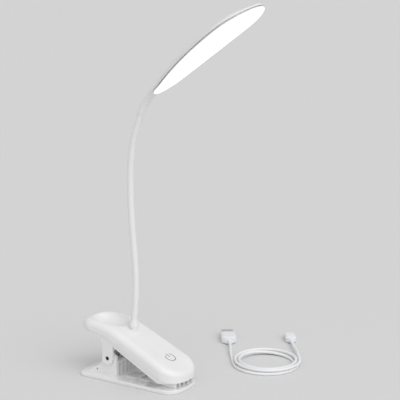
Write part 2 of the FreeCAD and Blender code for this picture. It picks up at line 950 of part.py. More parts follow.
def lever_base():
    outer_plan = lever_plan("base_plan", dim.base_inset)
    outer = common("base_outer", [outer_plan, base_side("base_side", as_size(0), as_size(0))])
    inner_plan = lever_plan("base_inner_plan", dim.base_inset + dim.base_wall)
    inner = common("base_inner", [inner_plan, base_side("base_inner_side", dim.base_wall, dim.overrun)])
    lugs = fuse("lugs", [lug("lug_near", -lug_outer), lug("lug_far", lug_inner)])
    hung = fuse("base_hung", [outer, common("lugs_trimmed", [lugs, below_split()])])
    tray = cut("base_tray", hung, inner)
    floor = base_floor_lift()
    posts = []
    corner = dim.board_width / 2 - dim.post_radius
    ends = (dim.board_start + dim.post_radius, dim.board_start + dim.board_length - dim.post_radius)
    for number, (along, side) in enumerate((a, s) for a in ends for s in (-1, 1)):
        post = cylinder(f"board_post_{number}", dim.post_radius, dim.board_lift - floor + dim.base_wall / 2)
        posts.append(on_deck(post, along, corner * side, floor - dim.base_wall / 2))
    whole = fuse("base_whole", [tray] + posts + [spring_seat()])
    bore_radius = dim.pin_radius + dim.pin_running_gap
    holes = [across("lug_bore", bore_radius, pivot_x, dim.pivot_z, lug_outer + dim.overrun)]
    for number, (along, y) in enumerate(screw_places()):
        shank = cylinder(f"base_screw_hole_{number}", dim.screw_radius + dim.fit_gap, dim.base_depth * 2)
        holes.append(on_deck(shank, along, y, floor - dim.base_depth))
        head = cylinder(f"base_screw_head_{number}", dim.screw_head_radius + dim.fit_gap, dim.base_depth)
        holes.append(on_deck(head, along, y, floor - dim.base_wall + dim.screw_head - dim.base_depth))
    finish("lever_base", cut("base_bored", whole, fuse("base_holes", holes)))


def cover_screws():
    screws = []
    floor = base_floor_lift()
    for number, (along, y) in enumerate(screw_places()):
        start = floor - dim.base_wall
        head = cylinder(f"screw_head_{number}", dim.screw_head_radius, dim.screw_head)
        shank = cylinder(f"screw_shank_{number}", dim.screw_radius, dim.base_wall + dim.shell_height / 2)
        pieces = [on_deck(piece, along, y, start) for piece in (head, shank)]
        screws.append(fuse(f"screw_{number}", pieces))
    finish("cover_screws", group("screws", screws))


def upper_pad():
    z_low = dim.jaw_height - dim.pad_recess + dim.pad_height + dim.pad_gap
    tall = toothed_pad("upper_pad", z_low, dim.lever_nose_lift + dim.overrun, dim.upper_pad_tooth, False)
    above = fuse("upper_pad_limit", [doc.getObject("base_outer"), doc.getObject("shell_outer")])
    under_lever = common("upper_pad_under", [tall, lever_plan("upper_pad_plan", dim.base_inset)])
    finish("upper_grip_pad", cut("upper_pad_trimmed", under_lever, above))


def electronics():
    floor = base_floor_lift()
    start = dim.board_start
    board_low = (start, -dim.board_width / 2, dim.board_lift)
    board_high = (start + dim.board_length, dim.board_width / 2, dim.board_lift + dim.board_thickness)
    finish("control_board", deck_box("board", board_low, board_high))
    middle = start + dim.board_length / 2
    cell_low = (middle - dim.battery_length / 2, -dim.battery_width / 2, floor)
    cell_high = (middle + dim.battery_length / 2, dim.battery_width / 2, floor + dim.battery_height)
    cell = deck_box("cell", cell_low, cell_high)
    finish("battery", cell)
    along = mark_along()
    lift = dim.board_lift + dim.board_thickness
    crown = shell_crown_lift() - dim.shell_wall - dim.seat_gap
    pillar = cylinder("touch_pillar", dim.touch_radius, crown - lift)
    finish("touch_plate", on_deck(pillar, along, 0, lift))
    outside = port_box("port_outside", as_size(0), as_size(0))
    outer = port_outer()
    wall = dim.port_wall
    low = (dim.port_start + wall, outer - dim.port_depth + wall, dim.board_lift - dim.port_height + wall)
    high = (dim.port_start + dim.port_width - wall, outer + dim.overrun, dim.board_lift - wall)
    shell = cut("port_shell", outside, deck_box("port_mouth", low, high))
    centre = dim.board_lift - dim.port_height / 2
    half_tongue = dim.port_tongue / 2
    quarter = dim.port_width / 4
    tongue_low = (dim.port_start + quarter, outer - dim.port_depth + wall / 2, centre - half_tongue)
    tongue_high = (dim.port_start + quarter * 3, outer - wall * 2, centre + half_tongue)
    finish("charge_port", fuse("port", [shell, deck_box("port_tongue_plate", tongue_low, tongue_high)]))


def shell_crown_lift():
    """Square distance from the split to the crown of the shell, at the power mark."""
    first = top_points[1]
    last = top_points[2]
    slope = (last[1] - first[1]) / (last[0] - first[0])
    crown_z = first[1] + (mark_x - first[0]) * slope
    split_z = deck_z - (mark_x - deck_x) * sine(deck_pitch) / cosine(deck_pitch)
    return (crown_z - split_z) * cosine(deck_pitch)


def neck_nut():
    item = doc.addObject("Part::Prism", "nut_prism")
    item.Polygon = 6
    bind(item, "Circumradius", dim.nut_radius)
    bind(item, "Height", dim.nut_height)
    place(item, 0, 0, 0)
    bore = cylinder("nut_bore", dim.neck_radius + dim.fit_gap, dim.nut_height + dim.overrun * 2)
    nut = cut("nut", item, place(bore, 0, 0, -dim.overrun))
    place(nut, boss_x, 0, boss_top - dim.boss_height - dim.nut_height)
    finish("neck_nut", nut)


# Neck
link_count = len(neck_lean_shares) - 1


def neck_point(number):
    """A joint of the neck; 0 is the boss and the last is the head's stem."""
    return (
        boss_x + dim.neck_rise * neck_lean_shares[number],
        boss_top + dim.neck_rise * number / link_count,
    )


def neck_link(number):
    """One length of the neck: a ball at its upper end, a cup over the ball below."""
    first = neck_point(number - 1)
    last = neck_point(number)
    run = last[0] - first[0]
    rise = last[1] - first[1]
    length = root(run * run + rise * rise)
    lean = bearing(run, rise)
    if number == 1:
        tail = dim.boss_height + dim.nut_height
        rod = place(cylinder("link_rod_1", dim.neck_radius, length), 0, 0, 0)
        foot = cylinder("link_foot", dim.neck_radius, tail + dim.neck_radius)
        straight = place(foot, first[0], 0, first[1] - tail)
        bent = fuse("link_bent_1", [rod, place(sphere("link_ball_1", dim.neck_radius), 0, 0, length)])
        place(bent, first[0], 0, first[1], Vector(0, 1, 0), lean)
        finish("neck_link_1", fuse("link_1", [bent, straight]))
        return
    rod = cylinder(f"link_rod_{number}", dim.neck_radius, length)
    pieces = [rod]
    if number < link_count:
        pieces.append(place(sphere(f"link_ball_{number}", dim.neck_radius), 0, 0, length))
    else:
        bind(rod, "Height", length + dim.stem_socket)
    body = fuse(f"link_body_{number}", pieces) if len(pieces) > 1 else rod
    cup = sphere(f"link_cup_{number}", dim.neck_radius + dim.neck_ball_gap)
    link = cut(f"link_{number}", body, cup)
    place(link, first[0], 0, first[1], Vector(0, 1, 0), lean)
    finish(f"neck_link_{number}", link)


# Head, in its own frame: X along the leaf from its root, Z square above it
head_x = neck_point(link_count)[0] + dim.stem_reach
head_z = neck_point(link_count)[1] + dim.stem_rise


def in_head(item):
    """Carries a finished head piece from the head's own frame to its place."""
    return place(item, head_x, 0, head_z, Vector(0, 1, 0), -dim.head_pitch_angle)


def arch(x):
    """Height of the leaf's arch, which ends a little higher at the tip than at the root."""
    middle = dim.head_length / 2
    offset = (x - middle) / middle
    along = x / dim.head_length
    return dim.head_arch * (1 - offset * offset) + dim.head_tip_lift * along * along


def leaf_plan(name, inset):
    """The leaf from above: long sides that swell to the widest place, then a round tip."""
    half = dim.head_width / 2
    root_half = dim.head_root_width / 2
    run = dim.head_length - dim.head_tip_run
    swell = half - root_half
    tip = dim.head_tip_run
    nose = dim.head_tip_radius
    side = ((tip - nose) * (tip - nose) + half * half - nose * nose) / ((half - nose) * 2)
    toward_x = (tip - nose) / (side - nose)
    toward_y = (side - half) / (side - nose)
    touch = (dim.head_length - nose + (nose - inset) * toward_x, (nose - inset) * toward_y)
    spread = root(toward_y * 2 + 2)
    passed = (
        run + (side - inset) * toward_x / spread,
        half - side + (side - inset) * (toward_y + 1) / spread,
    )
    rise = (root(run * run + swell * swell) - run) / swell / 2
    near_root = (inset, root_half - inset * root_draw_share)
    widest = (run, half - inset)
    swell_by = bulged(near_root, widest, -rise)

    def mirrored(point):
        return (point[0], -point[1])

    start = mirrored(near_root)
    steps = [
        [mirrored(swell_by), mirrored(widest)],
        [mirrored(passed), mirrored(touch)],
        [(dim.head_length - inset, as_size(0)), touch],
        [passed, widest],
        [swell_by, near_root],
        [start],
    ]
    reach = dim.head_arch + dim.head_tip_lift + dim.head_depth + dim.overrun
    return padded(name, "XY_Plane", reach * 2, start, steps)


def leaf(name, inset, low, high, thin_root=False, thin_tip=False):
    """A plate that follows the leaf's plan and arch between two heights above the spine."""
    start_x = -dim.overrun
    end_x = dim.head_length + dim.overrun
    middle = dim.head_length / 2
    front_x = dim.head_length - dim.head_tip_taper if thin_tip else end_x
    rear_x = dim.head_root_taper if thin_root else start_x

    def at(x, lift):
        return (x, arch(x) + lift)

    start = at(start_x, low)
    steps = [[at(middle, low), at(end_x, low)]]
    if thin_tip:
        past = (end_x - front_x) / dim.head_tip_taper
        drop = (dim.head_depth - dim.head_tip_depth) * past * past
        steps.append([at(end_x, high - drop)])
        steps.append([at((front_x + end_x) / 2, high - drop / 4), at(front_x, high)])
    else:
        steps.append([at(end_x, high)])
    steps.append([at((front_x + rear_x) / 2, high), at(rear_x, high)])
    if thin_root:
        root_end = (start_x, start[1] + dim.head_rim)
        steps.append([bulged(at(rear_x, high), root_end, root_bulge_share), root_end])
    steps.append([start])
    side = padded(name + "_side", "XZ_Plane", dim.head_width + dim.overrun, start, steps)
    return common(name, [leaf_plan(name + "_plan", inset), side])


def stem():
    """The round stem, which flattens into the leaf's root."""
    body = doc.addObject("PartDesign::Body", "stem")
    back_x = -(dim.stem_reach * cosine(dim.head_pitch_angle) + dim.stem_rise * sine(dim.head_pitch_angle))
    back_z = dim.stem_reach * sine(dim.head_pitch_angle) - dim.stem_rise * cosine(dim.head_pitch_angle)
    last = neck_point(link_count)
    before = neck_point(link_count - 1)
    climb = bearing(last[1] - before[1], last[0] - before[0]) - dim.head_pitch_angle
    flat_half = dim.head_depth / 2 + dim.head_rim / 2
    flat_x = dim.head_root_width
    flat_z = arch(flat_x) + dim.head_depth / 2 - dim.head_rim / 2
    sections = []
    ends = (("stem_round", back_x, back_z, -climb), ("stem_flat", flat_x, flat_z, as_size(0)))
    for name, x, z, tilt in ends:
        sketch = body.newObject("Sketcher::SketchObject", name)
        sketch.AttachmentSupport = [(origin_plane(body, "YZ_Plane"), "")]
        sketch.MapMode = "FlatFace"
        sketch.AttachmentOffset = FreeCAD.Placement(Vector(), Rotation(Vector(1, 0, 0), tilt.value or 1))
        bind(sketch, "AttachmentOffset.Rotation.Angle", tilt)
        bind(sketch, "AttachmentOffset.Base.y", z)
        bind(sketch, "AttachmentOffset.Base.z", x)
        sections.append(sketch)
    round_one, flat_one = sections
    circle = round_one.addGeometry(Part.Circle(Vector(), Vector(0, 0, 1), dim.stem_radius.value))
    round_one.addConstraint(Sketcher.Constraint("Coincident", circle, 3, -1, 1))
    number = round_one.addConstraint(Sketcher.Constraint("Radius", circle, dim.stem_radius.value))
    round_one.setExpression(f"Constraints[{number}]", dim.stem_radius.text)
    wide = dim.head_root_width * stem_flat_share
    oval = Part.Ellipse(Vector(wide.value, 0, 0), Vector(0, flat_half.value, 0), Vector())
    oval = flat_one.addGeometry(oval)
    flat_one.addConstraint(Sketcher.Constraint("Coincident", oval, 3, -1, 1))
    flat_one.exposeInternalGeometry(oval)
    reaches = (("DistanceX", oval + 1, 2, wide), ("DistanceY", oval + 2, 2, flat_half))
    for kind, geometry, vertex, size in reaches:
        value = getattr(flat_one.getPoint(geometry, vertex), kind[-1].lower())
        vertex = vertex if value > 0 else 1
        number = flat_one.addConstraint(Sketcher.Constraint(kind, -1, 1, geometry, vertex, size.value))
        flat_one.setExpression(f"Constraints[{number}]", size.text)
    flat_one.addConstraint(Sketcher.Constraint("Horizontal", oval + 1))
    loft = body.newObject("PartDesign::AdditiveLoft", "stem_loft")
    loft.Profile = round_one
    loft.Sections = [flat_one]
    socket_depth = dim.stem_socket + dim.overrun + dim.fit_gap
    socket = cylinder("stem_bore", dim.neck_radius + dim.fit_gap, socket_depth)
    angle = 90 - climb
    x = back_x - dim.overrun * cosine(climb)
    z = back_z - dim.overrun * sine(climb)
    place(socket, x, 0, z, Vector(0, 1, 0), angle)
    return body, socket


def head_screw_x(share):
    return dim.head_length * share


def root_stop(name, x):
    """Everything behind a place along the leaf."""
    reach = dim.head_arch + dim.head_depth + dim.overrun
    return box(name, (-dim.overrun * 2, -dim.head_width, -reach), (x, dim.head_width, reach))


def tip_stop(name, x):
    """Everything past a place along the leaf."""
    reach = dim.head_arch + dim.head_tip_lift + dim.head_depth + dim.overrun
    end_x = dim.head_length + dim.overrun * 2
    return box(name, (x, -dim.head_width, -reach), (end_x, dim.head_width, reach))


def head_shell():
    outer = leaf("head_outer", as_size(0), -dim.head_rim, dim.head_depth, True, True)
    doc.recompute()
    roofs = [face for face in outer.Shape.Faces if face.normalAt(*middle_of(face)).z > 0.5]

    def on_top(edge):
        middle = edge.valueAt((edge.FirstParameter + edge.LastParameter) / 2)
        owners = [face for face in roofs if any(edge.isSame(other) for other in face.Edges)]
        past_root = middle.x > dim.head_root_taper.value
        return len(owners) == 1 and past_root and abs(middle.y) > tolerance

    soft = rounded("head_soft", outer, dim.head_shoulder, on_top)
    under = -dim.head_rim - dim.overrun
    roof = dim.head_depth - dim.head_roof
    deep = leaf("head_inner", dim.head_wall + dim.head_roof, under, roof, thin_tip=True)
    ledge = leaf("head_recess", dim.head_wall, under, dim.diffuser_thickness - dim.head_rim)
    hollows = [
        cut("head_cavity", deep, root_stop("head_root_stop", dim.head_root_taper)),
        cut("head_diffuser_seat", ledge, root_stop("head_seat_stop", dim.head_root_width)),
    ]
    stem_body, socket = stem()
    posts = []
    for number, share in enumerate(head_screw_shares):
        x = head_screw_x(share)
        low = arch(x) + dim.led_board_lift + dim.led_board_thickness
        top = arch(x) + dim.head_depth - dim.head_roof / 2
        post = cylinder(f"head_post_{number}", dim.head_post_radius, top - low)
        posts.append(place(post, x, 0, low))
    body = cut("head_hollow", fuse("head_body", [soft, stem_body]), fuse("head_hollows", hollows))
    tools = [socket]
    for number, share in enumerate(head_screw_shares):
        x = head_screw_x(share)
        pilot = cylinder(f"head_pilot_{number}", dim.head_screw_radius, head_pilot())
        tools.append(place(pilot, x, 0, arch(x) + dim.led_board_lift))
    item = cut("head_whole", fuse("head_posts", [body] + posts), fuse("head_holes", tools))
    finish("head_shell", in_head(item))


def head_pilot():
    return dim.led_board_thickness + dim.head_screw_radius


def diffuser():
    """The opal tray: its edge laps under the shell, and its wall stands in the shell's seat."""
    face = -dim.head_rim - dim.diffuser_proud
    top = dim.diffuser_seat - dim.head_rim
    flange = leaf("diffuser_edge", dim.diffuser_lap, face, face + dim.diffuser_flange)
    plug = leaf("diffuser_plug", dim.diffuser_inset, face, top)
    inside = dim.diffuser_inset + dim.diffuser_wall
    room = leaf("diffuser_room", inside, face + dim.diffuser_wall, top + dim.overrun)
    root_x = dim.head_root_width + dim.diffuser_inset - dim.head_wall
    hollow = cut("diffuser_hollow", room, root_stop("diffuser_room_stop", root_x + dim.diffuser_wall))
    tools = [root_stop("diffuser_root_stop", root_x), hollow]
    tray = cut("diffuser_tray", fuse("diffuser_whole", [flange, plug]), fuse("diffuser_tools", tools))
    finish("diffuser", in_head(tray))


def led_parts():
    low = dim.led_board_lift
    plate = leaf("led_plate", dim.led_board_inset, low, low + dim.led_board_thickness)
    holes = [
        root_stop("led_root_stop", dim.head_length * led_board_start_share),
        tip_stop("led_tip_stop", dim.head_length * led_board_end_share),
    ]
    screws = []
    for number, share in enumerate(head_screw_shares):
        x = head_screw_x(share)
        base = arch(x) + low
        hole_radius = dim.head_screw_radius + dim.fit_gap
        hole = cylinder(f"led_board_hole_{number}", hole_radius, dim.led_board_thickness * 3)
        holes.append(place(hole, x, 0, base - dim.led_board_thickness))
        head = cylinder(f"head_screw_head_{number}", dim.head_screw_head_radius, dim.head_screw_head)
        place(head, x, 0, base - dim.head_screw_head - dim.head_screw_gap)
        shank_length = head_pilot() + dim.head_screw_gap - dim.fit_gap
        shank = cylinder(f"head_screw_shank_{number}", dim.head_screw_radius, shank_length)
        screws.append(fuse(f"head_screw_{number}", [head, place(shank, x, 0, base - dim.head_screw_gap)]))
    finish("led_board", in_head(cut("led_board_bored", plate, fuse("led_board_tools", holes))))
    finish("head_screws", in_head(group("head_screw_pair", screws)))
    chips = []
    for column in range(led_columns):
        x = dim.head_length * (led_start_share + led_span_share * column / (led_columns - 1))
        for row in range(led_rows):
            y = dim.led_row_gap * (row - (led_rows - 1) / 2)
            top = arch(x) + low - dim.fit_gap - dim.led_height * led_clear_share
            chip_low = (x - dim.led_length / 2, y - dim.led_width / 2, top - dim.led_height)
            chip_high = (x + dim.led_length / 2, y + dim.led_width / 2, top)
            chips.append(box(f"led_{column}_{row}", chip_low, chip_high))
    finish("leds", in_head(group("led_group", chips)))


# Springs and cords: tubes along arcs
def arc_between(first, tangent, last):
    """The arc that leaves first along tangent and ends at last."""
    chord = last - first
    along = Vector(chord).normalize()
    aside = tangent - along * tangent.dot(along)
    if aside.Length < tolerance:
        return Part.LineSegment(first, last).toShape()
    angle = math.acos(max(-1.0, min(1.0, tangent.dot(along))))
    rise = chord.Length / 2 * math.tan(angle / 2)
    return Part.Arc(first, first + chord / 2 + aside.normalize() * rise, last).toShape()


def biarc(first, tangent, last, last_tangent):
    """Two arcs that join two points with the given directions at them."""
    chord = last - first
    total = tangent + last_tangent
    closing = 2 * (1 - tangent.dot(last_tangent))
    along = chord.dot(total)
    if closing < tolerance * tolerance:
        reach = chord.dot(chord) / (4 * chord.dot(last_tangent))
    else:
        reach = (-along + math.sqrt(along * along + closing * chord.dot(chord))) / closing
    middle = (first + last + (tangent - last_tangent) * reach) / 2
    back = arc_between(last, -last_tangent, middle)
    return [arc_between(first, tangent, middle), back]


def tube(edges, start, direction, radius):
    """A round tube along a smooth path."""
    path = Part.Wire(Part.__sortEdges__(edges))
    ring = Part.Wire(Part.makeCircle(radius, start, direction))
    return path.makePipeShell([ring], True, False)


def least_gap(points, radius, apart):
    """The least clear distance between stretches of a tube that lie apart along it."""
    least = math.inf
    for index, point in enumerate(points):
        for other in points[index + apart:]:
            least = min(least, point.distanceToPoint(other) - radius * 2)
    return least


def solid_feature(name, shape):
    item = doc.addObject("Part::Feature", name)
    item.Shape = shape
    return item


def spring_sweep():
    """How far round the pin the wire runs between its legs, in degrees."""
    return 180 - dim.spring_lower_angle.value - dim.spring_upper_angle.value + 360 * spring_turns


def spring_route(samples):
    """Points and directions of the wound part of the clip spring, in the hinge's frame."""
    start = dim.spring_lower_angle.value - 90
    sweep = spring_sweep()
    radius = dim.spring_radius.value
    width = dim.spring_width.value
    points = []
    directions = []
    for number in range(samples + 1):
        share = number / samples
        angle = math.radians(start + sweep * share)
        points.append(Vector(radius * math.cos(angle), width * (share - 0.5), radius * math.sin(angle)))
        climb = 0 if number in (0, samples) else width / math.radians(sweep)
        directions.append(Vector(-radius * math.sin(angle), climb, radius * math.cos(angle)).normalize())
    return points, directions


def torsion_spring():
    points, directions = spring_route(math.ceil(spring_sweep() / 90))
    first = points[0] - directions[0] * dim.spring_lower_leg.value
    last = points[-1] + directions[-1] * dim.spring_upper_leg.value
    edges = [Part.LineSegment(first, points[0]).toShape()]
    for index in range(len(points) - 1):
        edges += biarc(points[index], directions[index], points[index + 1], directions[index + 1])
    edges.append(Part.LineSegment(points[-1], last).toShape())
    radius = dim.spring_wire.value / 2
    item = solid_feature("spring", tube(edges, first, directions[0], radius))
    place(item, pivot_x, 0, dim.pivot_z)
    dense, _ = spring_route(gap_points_per_turn * (spring_turns + 1))
    print("spring least gap", round(least_gap(dense, radius, gap_points_per_turn // 2), 3))
    finish("torsion_spring", item)


def spring_seat():
    """A small pad under the base that the spring's upper leg pushes on."""
    angle = dim.spring_upper_angle
    tip_x = pivot_x + dim.spring_radius * sine(angle) - dim.spring_upper_leg * cosine(angle)
    tip_z = dim.pivot_z + dim.spring_radius * cosine(angle) + dim.spring_upper_leg * sine(angle)
    half = dim.spring_wire * 2
    y = dim.spring_width / 2
    low = (tip_x - half, y - half, tip_z + dim.spring_wire / 2 + dim.seat_gap)
    high = (tip_x + half, y + half, edge_points[0][1] - dim.base_wall)
    return box("spring_seat", low, high)


def coil_point(turns):
    """The coil's centreline: in on the first layer, a climb, and out on the second."""
    pitch = dim.coil_pitch.value
    inward = min(turns, coil_in_turns)
    outward = max(0.0, turns - coil_in_turns - coil_climb_turns)
    radius = dim.coil_radius.value - pitch * (inward - outward)
    climbed = min(1.0, max(0.0, (turns - coil_in_turns) / coil_climb_turns))
    eased = climbed * climbed * (3 - 2 * climbed)
    z = dim.cable_diameter.value / 2 + dim.coil_layer_step.value * eased
    angle = math.radians(180 + 360 * turns)
    return Vector(radius * math.cos(angle), radius * math.sin(angle), z)


def coil_turns():
    return coil_in_turns * 2 + coil_climb_turns


def lay_cable(item):
    return place(item, dim.cable_x, dim.cable_y, 0, Vector(0, 0, 1), dim.cable_turn_angle)


def cable_coil():
    quarters = int(coil_turns() * 4)
    marks = [number / 4 for number in range(quarters + 1)]
    points = [coil_point(mark) for mark in marks]
    step = 1 / gap_points_per_turn
    directions = [(coil_point(mark + step) - coil_point(mark - step)).normalize() for mark in marks]
    directions[0] = Vector(0, -1, 0)
    directions[-1] = Vector(0, 1, 0)
    edges = []
    for index in range(quarters):
        edges += biarc(points[index], directions[index], points[index + 1], directions[index + 1])
    radius = dim.cable_diameter.value / 2
    item = solid_feature("coil", tube(edges, points[0], directions[0], radius))
    finish("cable_coil", lay_cable(item))
    steps = int(coil_turns() * gap_points_per_turn)
    dense = [coil_point(number / gap_points_per_turn) for number in range(steps + 1)]
    gap = least_gap(dense, radius, gap_points_per_turn // 2)
    length = sum(edge.Length for edge in edges)
    print("coil least gap", round(gap, 3), "length", round(length, 1))


def lead(label, route):
    """A free end of the cable: straight runs joined by the largest tangent arcs."""
    corners = [Vector(*point) for point in route]
    edges = []
    here = corners[0]
    radii = []
    for before, corner, after in zip(corners, corners[1:], corners[2:]):
        come = (corner - before).normalize()
        leave = (after - corner).normalize()
        reach = lead_arc_share * min(corner.distanceToPoint(before), corner.distanceToPoint(after))
        start = corner - come * reach
        end = corner + leave * reach
        edges.append(Part.LineSegment(here, start).toShape())
        edges.append(arc_between(start, come, end))
        radii.append(round(reach / math.tan(come.getAngle(leave) / 2), 1))
        here = end
    edges.append(Part.LineSegment(here, corners[-1]).toShape())
    radius = dim.cable_diameter.value / 2
    shape = tube(edges, corners[0], corners[1] - corners[0], radius)
    length = sum(edge.Length for edge in edges)
    fullness = shape.Volume / (math.pi * radius * radius * length)
    print(label, "radii", radii, "length", round(length, 1), "volume over section", round(fullness, 4))
    finish(label, lay_cable(solid_feature(label + "_tube", shape)))


def rounded_grip(name, length, width, height):
    """A moulded plug body along Y, with softened long edges and shoulders."""
    blank = box(name + "_blank", (-width / 2, as_size(0), -height / 2), (width / 2, length, height / 2))
    return rounded(name, blank, dim.grip_round, lambda edge: True)


def lay_plug(item, route_end):
    """Carries a finished plug piece from its own frame to the end of its lead."""
    x, y, z = route_end
    along = cosine(dim.cable_turn_angle)
    aside = sine(dim.cable_turn_angle)
    return place(
        item,
        dim.cable_x + along * x - aside * y,
        dim.cable_y + aside * x + along * y,
        z,
        Vector(0, 0, 1),
        dim.cable_turn_angle,
    )


def relief(label, route_end):
    """The tapered strain relief between a lead and its plug."""
    item = cone(label + "_cone", dim.cable_diameter / 2, dim.relief_radius, dim.relief_length)
    place(item, 0, 0, 0, Vector(1, 0, 0), -90)
    finish(label, lay_plug(group(label + "_piece", [item]), route_end))


def plugs():
    end_a = lead_a_route[0]
    end_b = lead_b_route[-1]
    relief("usb_a_relief", end_a)
    relief("micro_relief", end_b)
    start = dim.relief_length
    grip = rounded_grip("usb_grip", dim.usb_grip_length, dim.usb_grip_width, dim.usb_grip_height)
    place(grip, 0, start, 0)
    finish("usb_a_grip", lay_plug(group("usb_grip_piece", [grip]), end_a))
    mouth = start + dim.usb_grip_length
    half_w = dim.usb_shell_width / 2
    half_h = dim.usb_shell_height / 2
    wall = dim.usb_shell_wall
    end = mouth + dim.usb_shell_length
    outside = box("usb_outside", (-half_w, mouth, -half_h), (half_w, end, half_h))
    inside_low = (wall - half_w, mouth - dim.overrun, wall - half_h)
    windows = [box("usb_inside", inside_low, (half_w - wall, end + dim.overrun, half_h - wall))]
    half_window = dim.usb_window / 2
    window_y = mouth + dim.usb_shell_length / 2
    for side in (-1, 1):
        middle = half_w * usb_window_share * side
        low = (middle - half_window, window_y - half_window, as_size(0))
        high = (middle + half_window, window_y + half_window, half_h + dim.overrun)
        windows.append(box(f"usb_window_{side + 1}", low, high))
    metal = cut("usb_metal", outside, fuse("usb_hollow", windows))
    finish("usb_a_shell", lay_plug(group("usb_metal_piece", [metal]), end_a))
    tongue_low = (wall - half_w, mouth, wall - half_h)
    tongue_high = (half_w - wall, end - wall, wall - half_h + dim.usb_tongue_height)
    tongue = box("usb_tongue", tongue_low, tongue_high)
    finish("usb_a_tongue", lay_plug(group("usb_tongue_piece", [tongue]), end_a))
    grip = rounded_grip("micro_grip", dim.micro_grip_length, dim.micro_grip_width, dim.micro_grip_height)
    place(grip, 0, start, 0)
    finish("micro_grip", lay_plug(group("micro_grip_piece", [grip]), end_b))
    mouth = start + dim.micro_grip_length
    half_w = dim.micro_shell_width / 2
    half_h = dim.micro_shell_height / 2
    end = mouth + dim.micro_shell_length
    outside = box("micro_outside", (-half_w, mouth, -half_h), (half_w, end, half_h))
    inside_low = (wall - half_w, mouth + dim.micro_shell_length / 3, wall - half_h)
    inside = box("micro_inside", inside_low, (half_w - wall, end + dim.overrun, half_h - wall))
    metal = cut("micro_metal", outside, inside)
    finish("micro_shell", lay_plug(group("micro_metal_piece", [metal]), end_b))


lower_jaw()
lower_z = dim.jaw_height - dim.pad_recess
finish("lower_grip_pad", toothed_pad("lower_pad", lower_z, lower_z + dim.pad_height, dim.pad_tooth, True))
pivot_pin()
torsion_spring()
lever_shell()
lever_base()
upper_pad()
cover_screws()
electronics()
neck_nut()
for number in range(1, link_count + 1):
    neck_link(number)
head_shell()
diffuser()
led_parts()
cable_coil()
lead("cable_lead_a", lead_a_route)
lead("cable_lead_b", lead_b_route)
plugs()

doc.recompute()
failed = [item.Name for item in doc.Objects if "Invalid" in item.State or "Error" in item.State]
if failed:
    raise RuntimeError(f"objects failed: {failed}")
for label, item in nodes.items():
    if item.Shape.isNull() or not item.Shape.isValid() or not item.Shape.Solids:
        raise RuntimeError(f"{label} has no valid solid")
os.makedirs("parts", exist_ok=True)
for label, item in nodes.items():
    item.Shape.exportStep(f"parts/{label}.step")
    print(label, len(item.Shape.Solids), "solids, volume", round(item.Shape.Volume, 1))
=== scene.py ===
"""Looks of the clip-on lamp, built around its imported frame.

Metres throughout. X points to the clip's tip, Y across it, Z up, and the table top is at Z 0.
"""
import bmesh
import bpy
import json
import math
from mathutils import Matrix, Vector


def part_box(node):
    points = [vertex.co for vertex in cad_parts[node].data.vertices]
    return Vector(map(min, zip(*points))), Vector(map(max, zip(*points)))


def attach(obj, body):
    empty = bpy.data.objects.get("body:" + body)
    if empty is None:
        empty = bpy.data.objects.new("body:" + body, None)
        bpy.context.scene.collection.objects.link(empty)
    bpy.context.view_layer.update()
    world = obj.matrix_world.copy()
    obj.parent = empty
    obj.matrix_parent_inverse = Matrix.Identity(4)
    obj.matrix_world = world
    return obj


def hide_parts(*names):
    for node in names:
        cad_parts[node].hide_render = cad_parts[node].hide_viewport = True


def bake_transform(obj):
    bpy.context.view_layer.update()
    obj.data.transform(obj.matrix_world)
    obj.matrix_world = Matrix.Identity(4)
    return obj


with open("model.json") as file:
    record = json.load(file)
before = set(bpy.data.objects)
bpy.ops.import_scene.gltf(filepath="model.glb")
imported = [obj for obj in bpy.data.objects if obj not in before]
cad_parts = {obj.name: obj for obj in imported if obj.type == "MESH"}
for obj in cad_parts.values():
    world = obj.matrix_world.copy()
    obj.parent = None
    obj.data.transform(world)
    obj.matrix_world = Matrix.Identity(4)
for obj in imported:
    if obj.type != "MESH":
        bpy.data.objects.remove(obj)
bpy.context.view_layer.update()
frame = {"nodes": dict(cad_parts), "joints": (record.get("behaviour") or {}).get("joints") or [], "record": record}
nodes = frame["nodes"]
joint_places = {joint["name"]: Vector(joint["pos_m"]) for joint in frame["joints"]}

# Neck
NECK_RADIUS = 0.003
NECK_SIDES = 32
NECK_STEPS = 28
NECK_BLEND_SHARE = 0.46
NECK_END_LEAN = 0.00868
NECK_JOINTS = [
    "neck_bend_1",
    "neck_sway_2",
    "neck_bend_3",
    "neck_sway_4",
    "neck_bend_5",
    "neck_sway_6",
    "neck_bend_7",
]

# Head, in its own frame: X along the leaf from its root, Z square above it
HEAD_PITCH = math.radians(36.5)
STEM_REACH = 0.0102
STEM_RISE = 0.0135
STEM_RADIUS = 0.0037
STEM_CLIMB = math.radians(34.2)
STEM_LEAD = 0.006
STEM_LAND = 0.007
STEM_RINGS = 16
LEAF_LENGTH = 0.1435
LEAF_HALF_WIDTH = 0.0285
LEAF_ROOT_HALF = 0.0045
LEAF_TIP_RUN = 0.0375
LEAF_TIP_RADIUS = 0.017
LEAF_ARCH = 0.0034
LEAF_TIP_LIFT = 0.0026
LEAF_TIP_DEPTH = 0.0018
LEAF_TIP_TAPER = 0.0435
LEAF_DEPTH = 0.0044
LEAF_RIM = 0.0004
LEAF_EDGE = 0.0003
LEAF_TIP_ROUND = 0.0022
LEAF_JOIN = 0.009
LEAF_FLATTEN_RUN = 0.0135
LEAF_FLAT_RUN = 0.0171
LEAF_LIP = 0.0015
LEAF_RECESS = 0.0011
LEAF_RINGS = 64
LEAF_TOP_POINTS = 37
ROUND_CROWN = 2.0
FLAT_CROWN = 8.5
TIP_END_SHARE = 0.25
LIP_EDGE_SHARE = 0.3
SOFT_EDGE_SHARE = 0.3
STEM_SWELL_POWER = 1.8
OVAL_SHARES = (0.975, 0.9, 0.78, 0.62, 0.36, 0.0)
